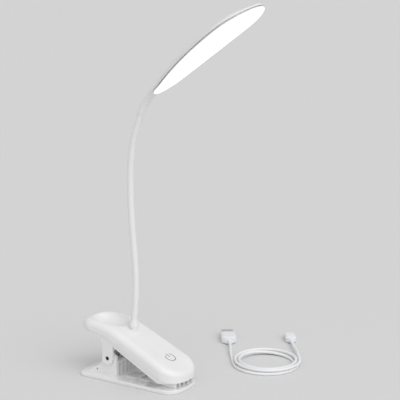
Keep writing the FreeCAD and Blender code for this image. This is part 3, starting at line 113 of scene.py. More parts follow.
DIFFUSER_INSET = 0.0019
DIFFUSER_LAP = 0.0003
DIFFUSER_START = 0.0094
DIFFUSER_PROUD = 0.0019
DIFFUSER_FLANGE = 0.001
DIFFUSER_SEAT = 0.0008
DIFFUSER_EDGE = 0.0003
DIFFUSER_DOME = 0.0004
DIFFUSER_DOME_POWER = 4
DIFFUSER_END_ROUND = 0.006
DIFFUSER_END_SHARE = 0.45
DIFFUSER_SETTLE_RUN = 0.018
DIFFUSER_SUNK_SHARE = 0.35
DIFFUSER_BACK_SHARES = (0.98, 0.0, -0.98)

# Clip spring
PIN_PLACE = joint_places["clip_hinge"]
PIN_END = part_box("pivot_pin")[1].y
# How far along each pin end the painted shade fades in
PIN_END_SHADE_RUN = 0.0008
SPRING_WIRE_RADIUS = 0.0007
SPRING_RADIUS = 0.0044
SPRING_WIDTH = 0.010
SPRING_TURNS = 4
SPRING_LOWER_LEG = 0.0243
SPRING_UPPER_LEG = 0.021
SPRING_LOWER_ANGLE = 33.0
SPRING_UPPER_ANGLE = 40.0
SPRING_STEPS_PER_TURN = 40
SPRING_SIDES = 14

# Grip pads
PAD_RIDGES = 5
PAD_GROOVE_SHARE = 0.4286
PAD_ROUND = 0.0004
LOWER_TOOTH = 0.0008
UPPER_TOOTH = 0.0034
PAD_SINK = 0.0008
PAD_SINK_RUN = 0.0128
PAD_STEPS = 180
PAD_FLANK_SHARE = 0.16
PAD_END_SHARES = [(0.0, 0.6), (0.25, 0.15), (1.0, 0.0)]

# Charging cable, in its own frame: it lies on the table beside the lamp
CABLE_PLACE = Vector((0.082, 0.1, 0))
CABLE_TURN = math.radians(36)
CABLE_DIAMETER = 0.003
COIL_RADIUS = 0.033
COIL_PITCH = 0.004
COIL_LAYER_STEP = 0.0035
COIL_IN_TURNS = 1.5
COIL_CLIMB_TURNS = 0.5
COIL_POINTS_PER_TURN = 16
CABLE_SIDE_STEPS = 5
CABLE_RUN_STEPS = 6
LEAD_A_ROUTE = [
    (-0.0322, 0.052, 0.004),
    (-0.0322, 0.042, 0.004),
    (-0.0333, 0.027, 0.0023),
    (-0.033, 0.012, 0.0015),
]
LEAD_B_ROUTE = [
    (0.033, 0.012, 0.005),
    (0.0334, 0.027, 0.0041),
    (0.0324, 0.042, 0.0034),
    (0.0324, 0.052, 0.0034),
]
RELIEF_LENGTH = 0.008
RELIEF_RADIUS = 0.0027
RELIEF_RIBS = 4
RELIEF_STEPS_PER_RIB = 8
RELIEF_SIDES = 28
RELIEF_GROOVE_SHARE = 0.12
RELIEF_LEAST_RADIUS = 0.00156
USB_GRIP = (0.0155, 0.020, 0.008)
MICRO_GRIP = (0.011, 0.017, 0.0068)
GRIP_STEPS = 48
GRIP_SIDES = 40
GRIP_CORNER_POWER = 0.42
GRIP_SHOULDER_SHARE = 0.22
GRIP_NECK_WIDTH_SHARE = 0.62
GRIP_NECK_HEIGHT_SHARE = 0.76
GRIP_NOSE_SHARE = 0.06
GRIP_NOSE_DRAW_SHARE = 0.1
GRIP_RIDGE_COUNT = 9
GRIP_RIDGE_SHARE = 0.025
GRIP_RIDGE_SHARES = (0.25, 0.6)

# Camera, where the photograph was taken from
CAMERA_PLACE = Vector((0.63356, -0.87374, 0.4070))
CAMERA_FORWARD = Vector((-0.530884, 0.820761, -0.210984))
CAMERA_LENS = 107.26
CAMERA_SENSOR = 36.0
CAMERA_CLIP_END = 160.0

# Stage
FLOOR_HALF = 40.0
FLOOR_COLOR = (0.745, 0.745, 0.745)
FLOOR_ROUGHNESS = 0.9
FLOOR_SPECULAR = 0.1
BACKDROP_COLOR = (0.645, 0.645, 0.645)
SKY_STRENGTH = 0.56
SUN_STRENGTH = 1.35
SUN_FROM = Vector((0.62, -0.34, 0.71))
FILL_STRENGTH = 0.12
FILL_FROM = Vector((-0.1, -0.97, 0.22))
SUN_SOFTNESS = math.radians(60)

# Meshes
SMOOTH_ANGLE = math.radians(32)
MERGE_DISTANCE = 1e-6
SLIVER_LENGTH = 1e-7

# Finishes: the span of a noise that is used, its scale in cycles a metre and the grain's bump
NOISE_LOW = 0.3
NOISE_HIGH = 0.7
DRIFT_SCALE = 45.0
DRIFT_DETAIL = 4.0
GRAIN_DETAIL = 6.0
GRAIN_STRENGTH = 0.25


# Materials


def shader(name):
    """A new node material and its main shader."""
    material = bpy.data.materials.new(name)
    material.use_nodes = True
    return material, material.node_tree.nodes["Principled BSDF"]


def noise(material, scale, detail, stretch=(1, 1, 1)):
    """A noise texture in the part's own frame; scale is in cycles a metre."""
    tree = material.node_tree
    place = tree.nodes.new("ShaderNodeTexCoord")
    spread = tree.nodes.new("ShaderNodeMapping")
    spread.inputs["Scale"].default_value = stretch
    texture = tree.nodes.new("ShaderNodeTexNoise")
    texture.inputs["Scale"].default_value = scale
    texture.inputs["Detail"].default_value = detail
    tree.links.new(place.outputs["Object"], spread.inputs["Vector"])
    tree.links.new(spread.outputs["Vector"], texture.inputs["Vector"])
    return texture.outputs["Fac"]


def ranged(material, factor, low, high):
    """A factor spread between two numbers."""
    tree = material.node_tree
    node = tree.nodes.new("ShaderNodeMapRange")
    node.inputs["From Min"].default_value = NOISE_LOW
    node.inputs["From Max"].default_value = NOISE_HIGH
    node.inputs["To Min"].default_value = low
    node.inputs["To Max"].default_value = high
    tree.links.new(factor, node.inputs["Value"])
    return node.outputs["Result"]


def tinted(material, factor, dark, light):
    """A factor spread between two colours."""
    tree = material.node_tree
    ramp = tree.nodes.new("ShaderNodeValToRGB")
    ramp.color_ramp.elements[0].position = NOISE_LOW
    ramp.color_ramp.elements[0].color = (*dark, 1)
    ramp.color_ramp.elements[1].position = NOISE_HIGH
    ramp.color_ramp.elements[1].color = (*light, 1)
    tree.links.new(factor, ramp.inputs["Fac"])
    return ramp.outputs["Color"]


def bumped(material, main, factor, depth):
    """Fine relief, as deep as the grain."""
    tree = material.node_tree
    bump = tree.nodes.new("ShaderNodeBump")
    bump.inputs["Strength"].default_value = GRAIN_STRENGTH
    bump.inputs["Distance"].default_value = depth
    tree.links.new(factor, bump.inputs["Height"])
    tree.links.new(bump.outputs["Normal"], main.inputs["Normal"])


def finished(name, dark, light, rough, grain, grain_depth, metallic=0.0, stretch=(1, 1, 1)):
    """A surface with drifting colour and gloss and a fine moulded, drawn or cast grain."""
    material, main = shader(name)
    tree = material.node_tree
    drift = noise(material, DRIFT_SCALE, DRIFT_DETAIL)
    fine = noise(material, grain, GRAIN_DETAIL, stretch)
    tree.links.new(tinted(material, drift, dark, light), main.inputs["Base Color"])
    tree.links.new(ranged(material, fine, rough[0], rough[1]), main.inputs["Roughness"])
    bumped(material, main, fine, grain_depth)
    main.inputs["Metallic"].default_value = metallic
    return material, main


def gray(value, tint=0.0):
    """A near neutral colour; a positive tint leans to blue."""
    return (value - tint, value - tint / 2, value + tint)


def white_plastic():
    material, main = finished(
        "white_plastic",
        dark=gray(0.83),
        light=gray(0.87),
        rough=(0.3, 0.42),
        grain=1800.0,
        grain_depth=0.00002,
    )
    main.inputs["Coat Weight"].default_value = 0.12
    main.inputs["Coat Roughness"].default_value = 0.25
    return material


def neck_sleeve():
    material, main = finished(
        "neck_sleeve",
        dark=gray(0.82),
        light=gray(0.86),
        rough=(0.4, 0.52),
        grain=2600.0,
        grain_depth=0.00002,
    )
    main.inputs["Sheen Weight"].default_value = 0.08
    return material


def grip_rubber():
    return finished(
        "grip_rubber",
        dark=gray(0.78),
        light=gray(0.84),
        rough=(0.62, 0.78),
        grain=3200.0,
        grain_depth=0.00005,
    )[0]


def cable_jacket():
    return finished(
        "cable_jacket",
        dark=gray(0.86, 0.008),
        light=gray(0.91, 0.008),
        rough=(0.42, 0.55),
        grain=2200.0,
        grain_depth=0.00002,
    )[0]


def plug_moulding():
    return finished(
        "plug_moulding",
        dark=gray(0.84, 0.02),
        light=gray(0.89, 0.02),
        rough=(0.45, 0.6),
        grain=2400.0,
        grain_depth=0.00003,
    )[0]


def steel():
    return finished(
        "steel",
        dark=gray(0.5),
        light=gray(0.62),
        rough=(0.22, 0.38),
        grain=700.0,
        grain_depth=0.00001,
        metallic=1.0,
        stretch=(1, 12, 1),
    )[0]


def plug_metal():
    return finished(
        "plug_metal",
        dark=gray(0.66),
        light=gray(0.76),
        rough=(0.2, 0.32),
        grain=900.0,
        grain_depth=0.00001,
        metallic=1.0,
        stretch=(10, 1, 1),
    )[0]


def mark_ink():
    return finished(
        "mark_ink",
        dark=gray(0.2),
        light=gray(0.26),
        rough=(0.25, 0.35),
        grain=1500.0,
        grain_depth=0.00001,
    )[0]


def touch_foam():
    return finished(
        "touch_foam",
        dark=gray(0.05),
        light=gray(0.09),
        rough=(0.8, 0.95),
        grain=1800.0,
        grain_depth=0.0001,
    )[0]


def board():
    return finished(
        "board",
        dark=(0.03, 0.16, 0.06),
        light=(0.05, 0.24, 0.09),
        rough=(0.3, 0.45),
        grain=1200.0,
        grain_depth=0.00003,
    )[0]


def cell_foil():
    return finished(
        "cell_foil",
        dark=gray(0.6),
        light=gray(0.72),
        rough=(0.25, 0.45),
        grain=400.0,
        grain_depth=0.00005,
        metallic=1.0,
    )[0]


def led_plate():
    return finished(
        "led_plate",
        dark=gray(0.8),
        light=gray(0.86),
        rough=(0.35, 0.5),
        grain=900.0,
        grain_depth=0.00001,
    )[0]


def led_chip():
    material, main = finished(
        "led_chip",
        dark=(0.8, 0.66, 0.22),
        light=(0.9, 0.76, 0.3),
        rough=(0.25, 0.35),
        grain=1500.0,
        grain_depth=0.00001,
    )
    main.inputs["Emission Color"].default_value = (1.0, 0.95, 0.85, 1)
    main.inputs["Emission Strength"].default_value = 2.0
    return material


def plug_core():
    return finished(
        "plug_core",
        dark=gray(0.03),
        light=gray(0.05),
        rough=(0.4, 0.55),
        grain=1200.0,
        grain_depth=0.00002,
    )[0]


def opal():
    """Milky plastic, lit from behind."""
    material, main = finished(
        "opal",
        dark=gray(0.9),
        light=gray(0.93),
        rough=(0.28, 0.36),
        grain=1500.0,
        grain_depth=0.00001,
    )
    main.inputs["Emission Color"].default_value = (1.0, 0.998, 0.99, 1)
    main.inputs["Emission Strength"].default_value = 0.75
    return material


def opal_edge():
    """The same plastic at the rim of the diffuser, where the light does not reach."""
    return finished(
        "opal_edge",
        dark=gray(0.84),
        light=gray(0.87),
        rough=(0.3, 0.4),
        grain=1500.0,
        grain_depth=0.00001,
    )[0]


def pin_steel_painted_shade():
    """Steel with painted shade on the pin's two ends, where they sit deep in their bores."""
    material, main = finished(
        "pin_steel_painted_shade",
        dark=gray(0.5),
        light=gray(0.62),
        rough=(0.3, 0.45),
        grain=700.0,
        grain_depth=0.00001,
        metallic=1.0,
    )
    tree = material.node_tree
    place = tree.nodes.new("ShaderNodeTexCoord")
    parts = tree.nodes.new("ShaderNodeSeparateXYZ")
    tree.links.new(place.outputs["Object"], parts.inputs["Vector"])
    aside = tree.nodes.new("ShaderNodeMath")
    aside.operation = "ABSOLUTE"
    tree.links.new(parts.outputs["Y"], aside.inputs[0])
    ends = tree.nodes.new("ShaderNodeMapRange")
    ends.inputs["From Min"].default_value = PIN_END - PIN_END_SHADE_RUN
    ends.inputs["From Max"].default_value = PIN_END
    tree.links.new(aside.outputs["Value"], ends.inputs["Value"])
    # Painted shade: the steel turns near black over the last stretch of each end
    ramp = tree.nodes.new("ShaderNodeValToRGB")
    ramp.color_ramp.elements[0].color = (*gray(0.55), 1)
    ramp.color_ramp.elements[1].color = (*gray(0.05), 1)
    tree.links.new(ends.outputs["Result"], ramp.inputs["Fac"])
    tree.links.new(ramp.outputs["Color"], main.inputs["Base Color"])
    return material


MATERIALS = {
    make.__name__: make()
    for make in (
        white_plastic,
        neck_sleeve,
        grip_rubber,
        cable_jacket,
        plug_moulding,
        steel,
        plug_metal,
        mark_ink,
        touch_foam,
        board,
        cell_foil,
        led_plate,
        led_chip,
        plug_core,
        opal,
        opal_edge,
        pin_steel_painted_shade,
    )
}


# Mesh helpers


def dressed(piece, slot, material=None):
    """Gives a piece a material: the given one, or by default the one named after its slot."""
    piece.data.materials.clear()
    piece.data.materials.append(material or MATERIALS[slot])
    return piece


def new_piece(name, points, faces):
    """A mesh object with merged points, outward normals and smooth faces."""
    mesh = bpy.data.meshes.new(name)
    mesh.from_pydata(points, [], faces)
    form = bmesh.new()
    form.from_mesh(mesh)
    bmesh.ops.remove_doubles(form, verts=form.verts, dist=MERGE_DISTANCE)
    bmesh.ops.dissolve_degenerate(form, edges=form.edges, dist=SLIVER_LENGTH)
    bmesh.ops.recalc_face_normals(form, faces=form.faces)
    form.to_mesh(mesh)
    form.free()
    mesh.shade_smooth()
    mesh.set_sharp_from_angle(angle=SMOOTH_ANGLE)
    piece = bpy.data.objects.new(name, mesh)
    bpy.context.scene.collection.objects.link(piece)
    return piece


def skinned(name, rings):
    """A closed skin over rings of equally many points, capped at both ends."""
    count = len(rings[0])
    faces = []
    for row in range(len(rings) - 1):
        low = row * count
        high = low + count
        for step in range(count):
            after = (step + 1) % count
            faces.append((low + step, low + after, high + after, high + step))
    last = (len(rings) - 1) * count
    faces.append(tuple(reversed(range(count))))
    faces.append(tuple(range(last, last + count)))
    return new_piece(name, [point for ring in rings for point in ring], faces)


def ring_about(centre, along, aside, radius, sides):
    """A circle of points round a line."""
    up = along.cross(aside).normalized()
    turns = [2 * math.pi * step / sides for step in range(sides)]
    return [centre + (aside * math.cos(turn) + up * math.sin(turn)) * radius for turn in turns]


def tube(name, path, radius, sides):
    """A round tube along points, with no twist."""
    along = (path[1] - path[0]).normalized()
    aside = along.orthogonal().normalized()
    rings = []
    for index, point in enumerate(path):
        before = path[max(index - 1, 0)]
        after = path[min(index + 1, len(path) - 1)]
        heading = (after - before).normalized()
        aside.rotate(along.rotation_difference(heading))
        aside = (aside - heading * aside.dot(heading)).normalized()
        along = heading
        rings.append(ring_about(point, along, aside, radius, sides))
    return skinned(name, rings)


def eased(value):
    """A smooth step from 0 to 1."""
    value = min(1.0, max(0.0, value))
    return value * value * (3 - 2 * value)


def between(first, last, share):
    """A number or point part of the way from first to last."""
    return first + (last - first) * share


# Camera and cord


def make_camera():
    data = bpy.data.cameras.new("camera")
    data.lens = CAMERA_LENS
    data.sensor_width = CAMERA_SENSOR
    data.clip_end = CAMERA_CLIP_END
    camera = bpy.data.objects.new("camera", data)
    camera.location = CAMERA_PLACE
    camera.rotation_euler = CAMERA_FORWARD.to_track_quat("-Z", "Y").to_euler()
    bpy.context.scene.collection.objects.link(camera)
    bpy.context.scene.camera = camera


cable_frame = Matrix.Translation(CABLE_PLACE) @ Matrix.Rotation(CABLE_TURN, 4, "Z")


def coil_point(turns):
    """The coil's centreline: in on the first layer, a climb, and out on the second."""
    inward = min(turns, COIL_IN_TURNS)
    outward = max(0.0, turns - COIL_IN_TURNS - COIL_CLIMB_TURNS)
    radius = COIL_RADIUS - COIL_PITCH * (inward - outward)
    outside = radius / math.cos(math.pi / COIL_POINTS_PER_TURN)
    climbed = eased((turns - COIL_IN_TURNS) / COIL_CLIMB_TURNS)
    angle = math.pi + 2 * math.pi * turns
    lift = CABLE_DIAMETER / 2 + COIL_LAYER_STEP * climbed
    return Vector((outside * math.cos(angle), outside * math.sin(angle), lift))


def make_cord():
    """The cable: a lead from the large plug, the coil, and a lead to the small plug."""
    turns = COIL_IN_TURNS * 2 + COIL_CLIMB_TURNS
    steps = int(turns * COIL_POINTS_PER_TURN)
    coil = [coil_point((step + 0.5) / COIL_POINTS_PER_TURN) for step in range(steps)]
    route = [*map(Vector, LEAD_A_ROUTE), *coil, *map(Vector, LEAD_B_ROUTE)]
    data = bpy.data.curves.new("cable", "CURVE")
    data.dimensions = "3D"
    data.bevel_depth = CABLE_DIAMETER / 2
    data.bevel_resolution = CABLE_SIDE_STEPS
    data.resolution_u = CABLE_RUN_STEPS
    data.use_fill_caps = True
    spline = data.splines.new("NURBS")
    spline.points.add(len(route) - 1)
    for control, point in zip(spline.points, route):
        control.co = (*(cable_frame @ point), 1)
    spline.order_u = 3
    spline.use_endpoint_u = True
    cord = bpy.data.objects.new("cable", data)
    bpy.context.scene.collection.objects.link(cord)
    dressed(cord, "cable_jacket")
    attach(cord, "cable")
    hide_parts("cable_coil", "cable_lead_a", "cable_lead_b")


# Cable ends


def plug_section(width, height):
    """A soft-cornered outline across a plug, in X and Z."""
    points = []
    for step in range(GRIP_SIDES):
        turn = 2 * math.pi * step / GRIP_SIDES
        x = math.copysign(abs(math.cos(turn)) ** GRIP_CORNER_POWER, math.cos(turn))
        z = math.copysign(abs(math.sin(turn)) ** GRIP_CORNER_POWER, math.sin(turn))
        points.append((x * width / 2, z * height / 2))
    return points


def make_relief(name, end):
    """A tapered strain relief with ribs, from the lead to the plug."""
    rings = []
    steps = RELIEF_RIBS * RELIEF_STEPS_PER_RIB
    for step in range(steps + 1):
        share = step / steps
        radius = between(CABLE_DIAMETER / 2, RELIEF_RADIUS, share)
        crest = math.sqrt(abs(math.cos(math.pi * share * RELIEF_RIBS)))
        radius *= between(1 - RELIEF_GROOVE_SHARE, 1, crest)
        radius = max(radius, RELIEF_LEAST_RADIUS)
        centre = Vector(end) + Vector((0, RELIEF_LENGTH * share, 0))
        ring = ring_about(centre, Vector((0, 1, 0)), Vector((1, 0, 0)), radius, RELIEF_SIDES)
        rings.append([cable_frame @ point for point in ring])
    piece = dressed(skinned(name + "_ribbed", rings), "plug_moulding")
    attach(piece, "cable")
    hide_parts(name)
    return piece


def make_grip(name, end, size):
    """A moulded plug body: drawn in at the neck, soft edged, with finger ridges on its sides."""
    width, length, height = size
    ridge_start, ridge_end = GRIP_RIDGE_SHARES
    rings = []
    for step in range(GRIP_STEPS + 1):
        share = step / GRIP_STEPS
        shoulder = eased(share / GRIP_SHOULDER_SHARE)
        nose = 1 - GRIP_NOSE_DRAW_SHARE * eased(1 - (1 - share) / GRIP_NOSE_SHARE)
        ridge = 0.0
        if ridge_start < share < ridge_end:
            ridge = GRIP_RIDGE_SHARE * max(0.0, math.cos(2 * math.pi * share * GRIP_RIDGE_COUNT))
        wide = width * (between(GRIP_NECK_WIDTH_SHARE, 1, shoulder) * nose - ridge)
        tall = height * between(GRIP_NECK_HEIGHT_SHARE, 1, shoulder) * nose
        y = end[1] + RELIEF_LENGTH + length * share
        outline = plug_section(wide, tall)
        rings.append([cable_frame @ Vector((end[0] + x, y, end[2] + z)) for x, z in outline])
    piece = dressed(skinned(name + "_moulded", rings), "plug_moulding")
    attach(piece, "cable")
    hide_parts(name)
    return piece


def make_cable():
    end_a = LEAD_A_ROUTE[0]
    end_b = LEAD_B_ROUTE[-1]
    pieces = [
        make_relief("usb_a_relief", end_a),
        make_relief("micro_relief", end_b),
        make_grip("usb_a_grip", end_a, USB_GRIP),
        make_grip("micro_grip", end_b, MICRO_GRIP),
    ]
    pieces += [nodes[name] for name in ("usb_a_shell", "usb_a_tongue", "micro_shell")]
    make_cord()


# Neck


neck_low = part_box("neck_link_1")[0]
neck_foot = Vector((neck_low.x + NECK_RADIUS, 0, neck_low.z))
neck_joints = [joint_places[name] for name in NECK_JOINTS]
link_rise = neck_joints[1].z - neck_joints[0].z
neck_start = Vector((neck_foot.x, 0, neck_joints[0].z - link_rise))
neck_end = neck_joints[-1] + Vector((NECK_END_LEAN, 0, link_rise))


def curve_through(before, first, last, after, share):
    """A point on the smooth curve from first to last."""
    square = share * share
    cube = square * share
    total = first * 2 + (last - before) * share
    total += (before * 2 - first * 5 + last * 4 - after) * square
    total += (first * 3 - before - last * 3 + after) * cube
    return total / 2


def make_neck():
    """A smooth sleeve in seven lengths, each from mid link to mid link round one joint."""
    corners = [neck_start, *neck_joints, neck_end]
    outer = [neck_foot, *corners, neck_end + (neck_end - neck_joints[-1])]

    def link_path(number):
        """Points along one link, from its lower end to its upper."""
        reach = outer[number - 1:number + 3]
        return [curve_through(*reach, step / NECK_STEPS) for step in range(NECK_STEPS + 1)]

    half = NECK_STEPS // 2
    for number, joint in enumerate(neck_joints, start=1):
        lower = link_path(number)
        upper = link_path(number + 1)
        path = (lower if number == 1 else lower[half:])[:-1]
        path += upper if number == len(neck_joints) else upper[:half + 1]
        if number == 1:
            path.insert(0, neck_foot.copy())
        if number == len(neck_joints):
            heading = (path[-1] - path[-2]).normalized()
            path.append(path[-1] + heading * NECK_RADIUS)
        piece = dressed(tube(f"neck_sleeve_{number}", path, NECK_RADIUS, NECK_SIDES), "neck_sleeve")
        heading = (upper[half] - lower[half]).normalized() * link_rise * NECK_BLEND_SHARE
        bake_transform(piece)
        replaced = [f"neck_link_{number}"]
        if number == len(neck_joints):
            replaced.append(f"neck_link_{number + 1}")
        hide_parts(*replaced)


# Head


head_root = neck_end + Vector((STEM_REACH, 0, STEM_RISE))
head_along = Vector((math.cos(HEAD_PITCH), 0, math.sin(HEAD_PITCH)))
head_up = Vector((-math.sin(HEAD_PITCH), 0, math.cos(HEAD_PITCH)))


def in_head(x, y, z):
    """A point of the head's own frame, in the part's frame."""
    return head_root + head_along * x + head_up * z + Vector((0, y, 0))


def leaf_arch(x):
    """Height of the leaf's arched middle line, which lifts a little towards the tip."""
    middle = LEAF_LENGTH / 2
    return LEAF_ARCH * (1 - ((x - middle) / middle) ** 2) + LEAF_TIP_LIFT * (x / LEAF_LENGTH) ** 2


def leaf_depth(x):
    """How high the crown stands above the arch; it thins towards the tip."""
    past = max(0.0, (x - LEAF_LENGTH + LEAF_TIP_TAPER) / LEAF_TIP_TAPER)
    return LEAF_DEPTH - (LEAF_DEPTH - LEAF_TIP_DEPTH) * past ** 2


leaf_widest = LEAF_LENGTH - LEAF_TIP_RUN
leaf_swell = LEAF_HALF_WIDTH - LEAF_ROOT_HALF
leaf_side_radius = (leaf_widest ** 2 + leaf_swell ** 2) / (2 * leaf_swell)
tip_side_radius = (
    (LEAF_TIP_RUN - LEAF_TIP_RADIUS) ** 2 + LEAF_HALF_WIDTH ** 2 - LEAF_TIP_RADIUS ** 2
) / (2 * (LEAF_HALF_WIDTH - LEAF_TIP_RADIUS))
tip_centre = LEAF_LENGTH - LEAF_TIP_RADIUS
tip_touch_share = (LEAF_TIP_RUN - LEAF_TIP_RADIUS) / (tip_side_radius - LEAF_TIP_RADIUS)


def leaf_half(x, inset):
    """Half the leaf's width at a place along it, inside its edge by an inset."""
    touch = tip_centre + (LEAF_TIP_RADIUS - inset) * tip_touch_share
    if x <= leaf_widest:
        radius = leaf_side_radius - inset
        return LEAF_HALF_WIDTH - leaf_side_radius + math.sqrt(radius ** 2 - (leaf_widest - x) ** 2)
    if x <= touch:
        radius = tip_side_radius - inset
        return LEAF_HALF_WIDTH - tip_side_radius + math.sqrt(radius ** 2 - (x - leaf_widest) ** 2)
    return math.sqrt(max(0.0, (LEAF_TIP_RADIUS - inset) ** 2 - (x - tip_centre) ** 2))


def leaf_places(start, inset, count):
    """Places along the leaf, close together towards its tip."""
    end = LEAF_LENGTH - inset
    return [start + (end - start) * math.sin(math.pi / 2 * step / count) for step in range(count + 1)]


# Places across the head from -1 to 1, closer together towards its edges
top_spread = [
    math.sin(math.pi / 2 * (2 * step / (LEAF_TOP_POINTS - 1) - 1)) for step in range(LEAF_TOP_POINTS)
]


def closed_section(half_width, edge, top, sharpness, under):
    """One ring across the head: a dome from edge to edge, then the given points below it."""
    ring = []
    for share in top_spread:
        rise = math.sqrt(max(0.0, 1 - abs(share) ** sharpness))
        ring.append((half_width * share, edge + (top - edge) * rise))
    ring += under
    ring += [(-y, z) for y, z in reversed(under[:-1])]
    return ring


def oval_under(half_width, centre, depth):
    """The lower half of an oval, from +Y to the middle."""
    return [(half_width * share, centre - depth * math.sqrt(1 - share ** 2)) for share in OVAL_SHARES]


def lip_under(x):
    """The shell's underside: a lip, then the seat of the diffuser."""
    low = leaf_arch(x) - LEAF_RIM
    half = leaf_half(x, 0)
    inner = leaf_half(x, LEAF_LIP) if x < LEAF_LENGTH - LEAF_LIP else 0.0
    seat = low
    if inner > 0:
        seat += LEAF_RECESS * eased((x - LEAF_JOIN) / LEAF_EDGE)
    edge = min(LEAF_EDGE, half * LIP_EDGE_SHARE)
    soft = edge * SOFT_EDGE_SHARE
    points = [(half - soft, low + soft), (half - edge, low), (inner, low), (inner, seat)]
    return points + [(inner / 2, seat), (0.0, seat)]


def mixed(first, last, share):
    """Points part of the way from one outline to another of as many points."""
    return [
        (between(y0, y1, share), between(z0, z1, share)) for (y0, z0), (y1, z1) in zip(first, last)
    ]


def bezier(points, share):
    """A point on the curve that the given points control."""
    while len(points) > 1:
        points = [between(a, b, share) for a, b in zip(points, points[1:])]
    return points[0]


def stem_rings():
    """From the round end on the neck to the leaf's root."""
    back_x = -(STEM_REACH * math.cos(HEAD_PITCH) + STEM_RISE * math.sin(HEAD_PITCH))
    back_z = STEM_REACH * math.sin(HEAD_PITCH) - STEM_RISE * math.cos(HEAD_PITCH)
    start = Vector((back_x, 0, back_z))
    middle_z = leaf_arch(LEAF_JOIN) + (LEAF_DEPTH - LEAF_RIM) / 2
    end = Vector((LEAF_JOIN, 0, middle_z))
    climb = Vector((math.cos(STEM_CLIMB), 0, math.sin(STEM_CLIMB)))
    route = [start, start + climb * STEM_LEAD, end - Vector((STEM_LAND, 0, 0)), end]
    half_depth = (LEAF_DEPTH + LEAF_RIM) / 2
    rings = []
    for step in range(STEM_RINGS):
        share = step / STEM_RINGS
        centre = bezier(route, share)
        heading = STEM_CLIMB * (1 - eased(share))
        half = between(STEM_RADIUS, leaf_half(LEAF_JOIN, 0), share ** STEM_SWELL_POWER)
        depth = between(STEM_RADIUS, half_depth, eased(share))
        oval = closed_section(half, 0.0, depth, ROUND_CROWN, oval_under(half, 0.0, depth))
        ring = []
        for y, z in oval:
            x = centre.x - math.sin(heading) * z
            ring.append(in_head(x, y, centre.z + math.cos(heading) * z))
        rings.append(ring)
    return rings


def leaf_ring(x):
    """One ring across the leaf, from soft oval at its root to a flat crown."""
    half = leaf_half(x, 0)
    blend = eased((x - LEAF_JOIN) / LEAF_FLATTEN_RUN)
    low = leaf_arch(x) - LEAF_RIM
    middle = leaf_arch(x) + (LEAF_DEPTH - LEAF_RIM) / 2
    edge = between(middle, low + LEAF_EDGE, blend)
    tip = max(0.0, (x - LEAF_LENGTH + LEAF_TIP_ROUND) / LEAF_TIP_ROUND)
    rounding = between(TIP_END_SHARE, 1, math.sqrt(max(0.0, 1 - tip ** 2)))
    top = low + (leaf_depth(x) + LEAF_RIM) * rounding
    edge = min(edge, top)
    sharpness = between(ROUND_CROWN, FLAT_CROWN, eased((half - LEAF_ROOT_HALF * 2) / LEAF_FLAT_RUN))
    round_under = oval_under(half, middle, (LEAF_DEPTH + LEAF_RIM) / 2)
    under = mixed(round_under, lip_under(x), blend)
    return [in_head(x, y, z) for y, z in closed_section(half, edge, top, sharpness, under)]


def make_head_shell():
    places = leaf_places(LEAF_JOIN, 0, LEAF_RINGS) + leaf_places(LEAF_JOIN, LEAF_LIP, LEAF_RINGS)
    rings = stem_rings()
    last = -1.0
    for x in sorted(places):
        if x - last > MERGE_DISTANCE:
            rings.append(leaf_ring(x))
            last = x
    piece = dressed(skinned("head_cover", rings), "white_plastic")
    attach(piece, "head")
    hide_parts("head_shell")


def diffuser_half(x, inset):
    """Half the diffuser's width, with its root end rounded off."""
    start = min(1.0, (x - DIFFUSER_START) / DIFFUSER_END_ROUND)
    rounding = between(DIFFUSER_END_SHARE, 1, math.sqrt(max(0.0, 1 - (1 - start) ** 2)))
    return leaf_half(x, inset) * rounding if x < LEAF_LENGTH - inset else 0.0


def diffuser_face(x):
    """Height of the diffuser's outer edge line below the shell, drawn in at its root."""
    settled = eased((x - DIFFUSER_START) / DIFFUSER_SETTLE_RUN)
    return leaf_arch(x) - LEAF_RIM - DIFFUSER_PROUD * between(DIFFUSER_SUNK_SHARE, 1, settled)


def diffuser_face_ring(x):
    """One ring of the lit face: a low dome below, a flat back above."""
    wide = diffuser_half(x, DIFFUSER_LAP)
    half = max(0.0, wide - DIFFUSER_EDGE)
    edge = diffuser_face(x)
    ring = []
    for share in top_spread:
        dome = DIFFUSER_DOME * (1 - abs(share) ** DIFFUSER_DOME_POWER) * min(1.0, wide / LEAF_TIP_RADIUS)
        ring.append(in_head(x, half * share, edge - dome))
    return ring + [in_head(x, half * share, edge + DIFFUSER_EDGE) for share in DIFFUSER_BACK_SHARES]


def diffuser_tray_ring(x):
    """One ring of the unlit tray: soft edge, lapping rim, open joint and the wall in the shell."""
    wide = diffuser_half(x, DIFFUSER_LAP)
    face_half = max(0.0, wide - DIFFUSER_EDGE)
    plug_half = diffuser_half(x, DIFFUSER_INSET)
    edge = diffuser_face(x)
    shell = leaf_arch(x) - LEAF_RIM
    lap = min(edge + DIFFUSER_FLANGE, shell)
    seat = shell + DIFFUSER_SEAT if plug_half > 0 else lap
    soft = DIFFUSER_EDGE * SOFT_EDGE_SHARE
    half_ring = [
        (0.0, edge + DIFFUSER_EDGE / 2),
        (face_half, edge + soft / 3),
        (wide - soft * min(1.0, wide / LEAF_TIP_RADIUS), edge + soft),
        (wide, edge + DIFFUSER_EDGE),
        (wide, lap - DIFFUSER_EDGE),
        (face_half, lap),
        (plug_half, lap),
        (plug_half, seat),
        (0.0, seat),
    ]
    whole = half_ring + [(-y, z) for y, z in reversed(half_ring[1:-1])]
    return [in_head(x, y, z) for y, z in whole]


def make_diffuser():
    """The opal tray: a lit face, and an unlit edge and wall with an open joint under the shell."""
    places = leaf_places(DIFFUSER_START, DIFFUSER_LAP, LEAF_RINGS)
    face = dressed(skinned("diffuser_face", [diffuser_face_ring(x) for x in places]), "opal")
    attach(face, "head")
    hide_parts("diffuser")
    tray = skinned("diffuser_edge", [diffuser_tray_ring(x) for x in places])
    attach(dressed(tray, "opal", MATERIALS["opal_edge"]), "head")


# Clip


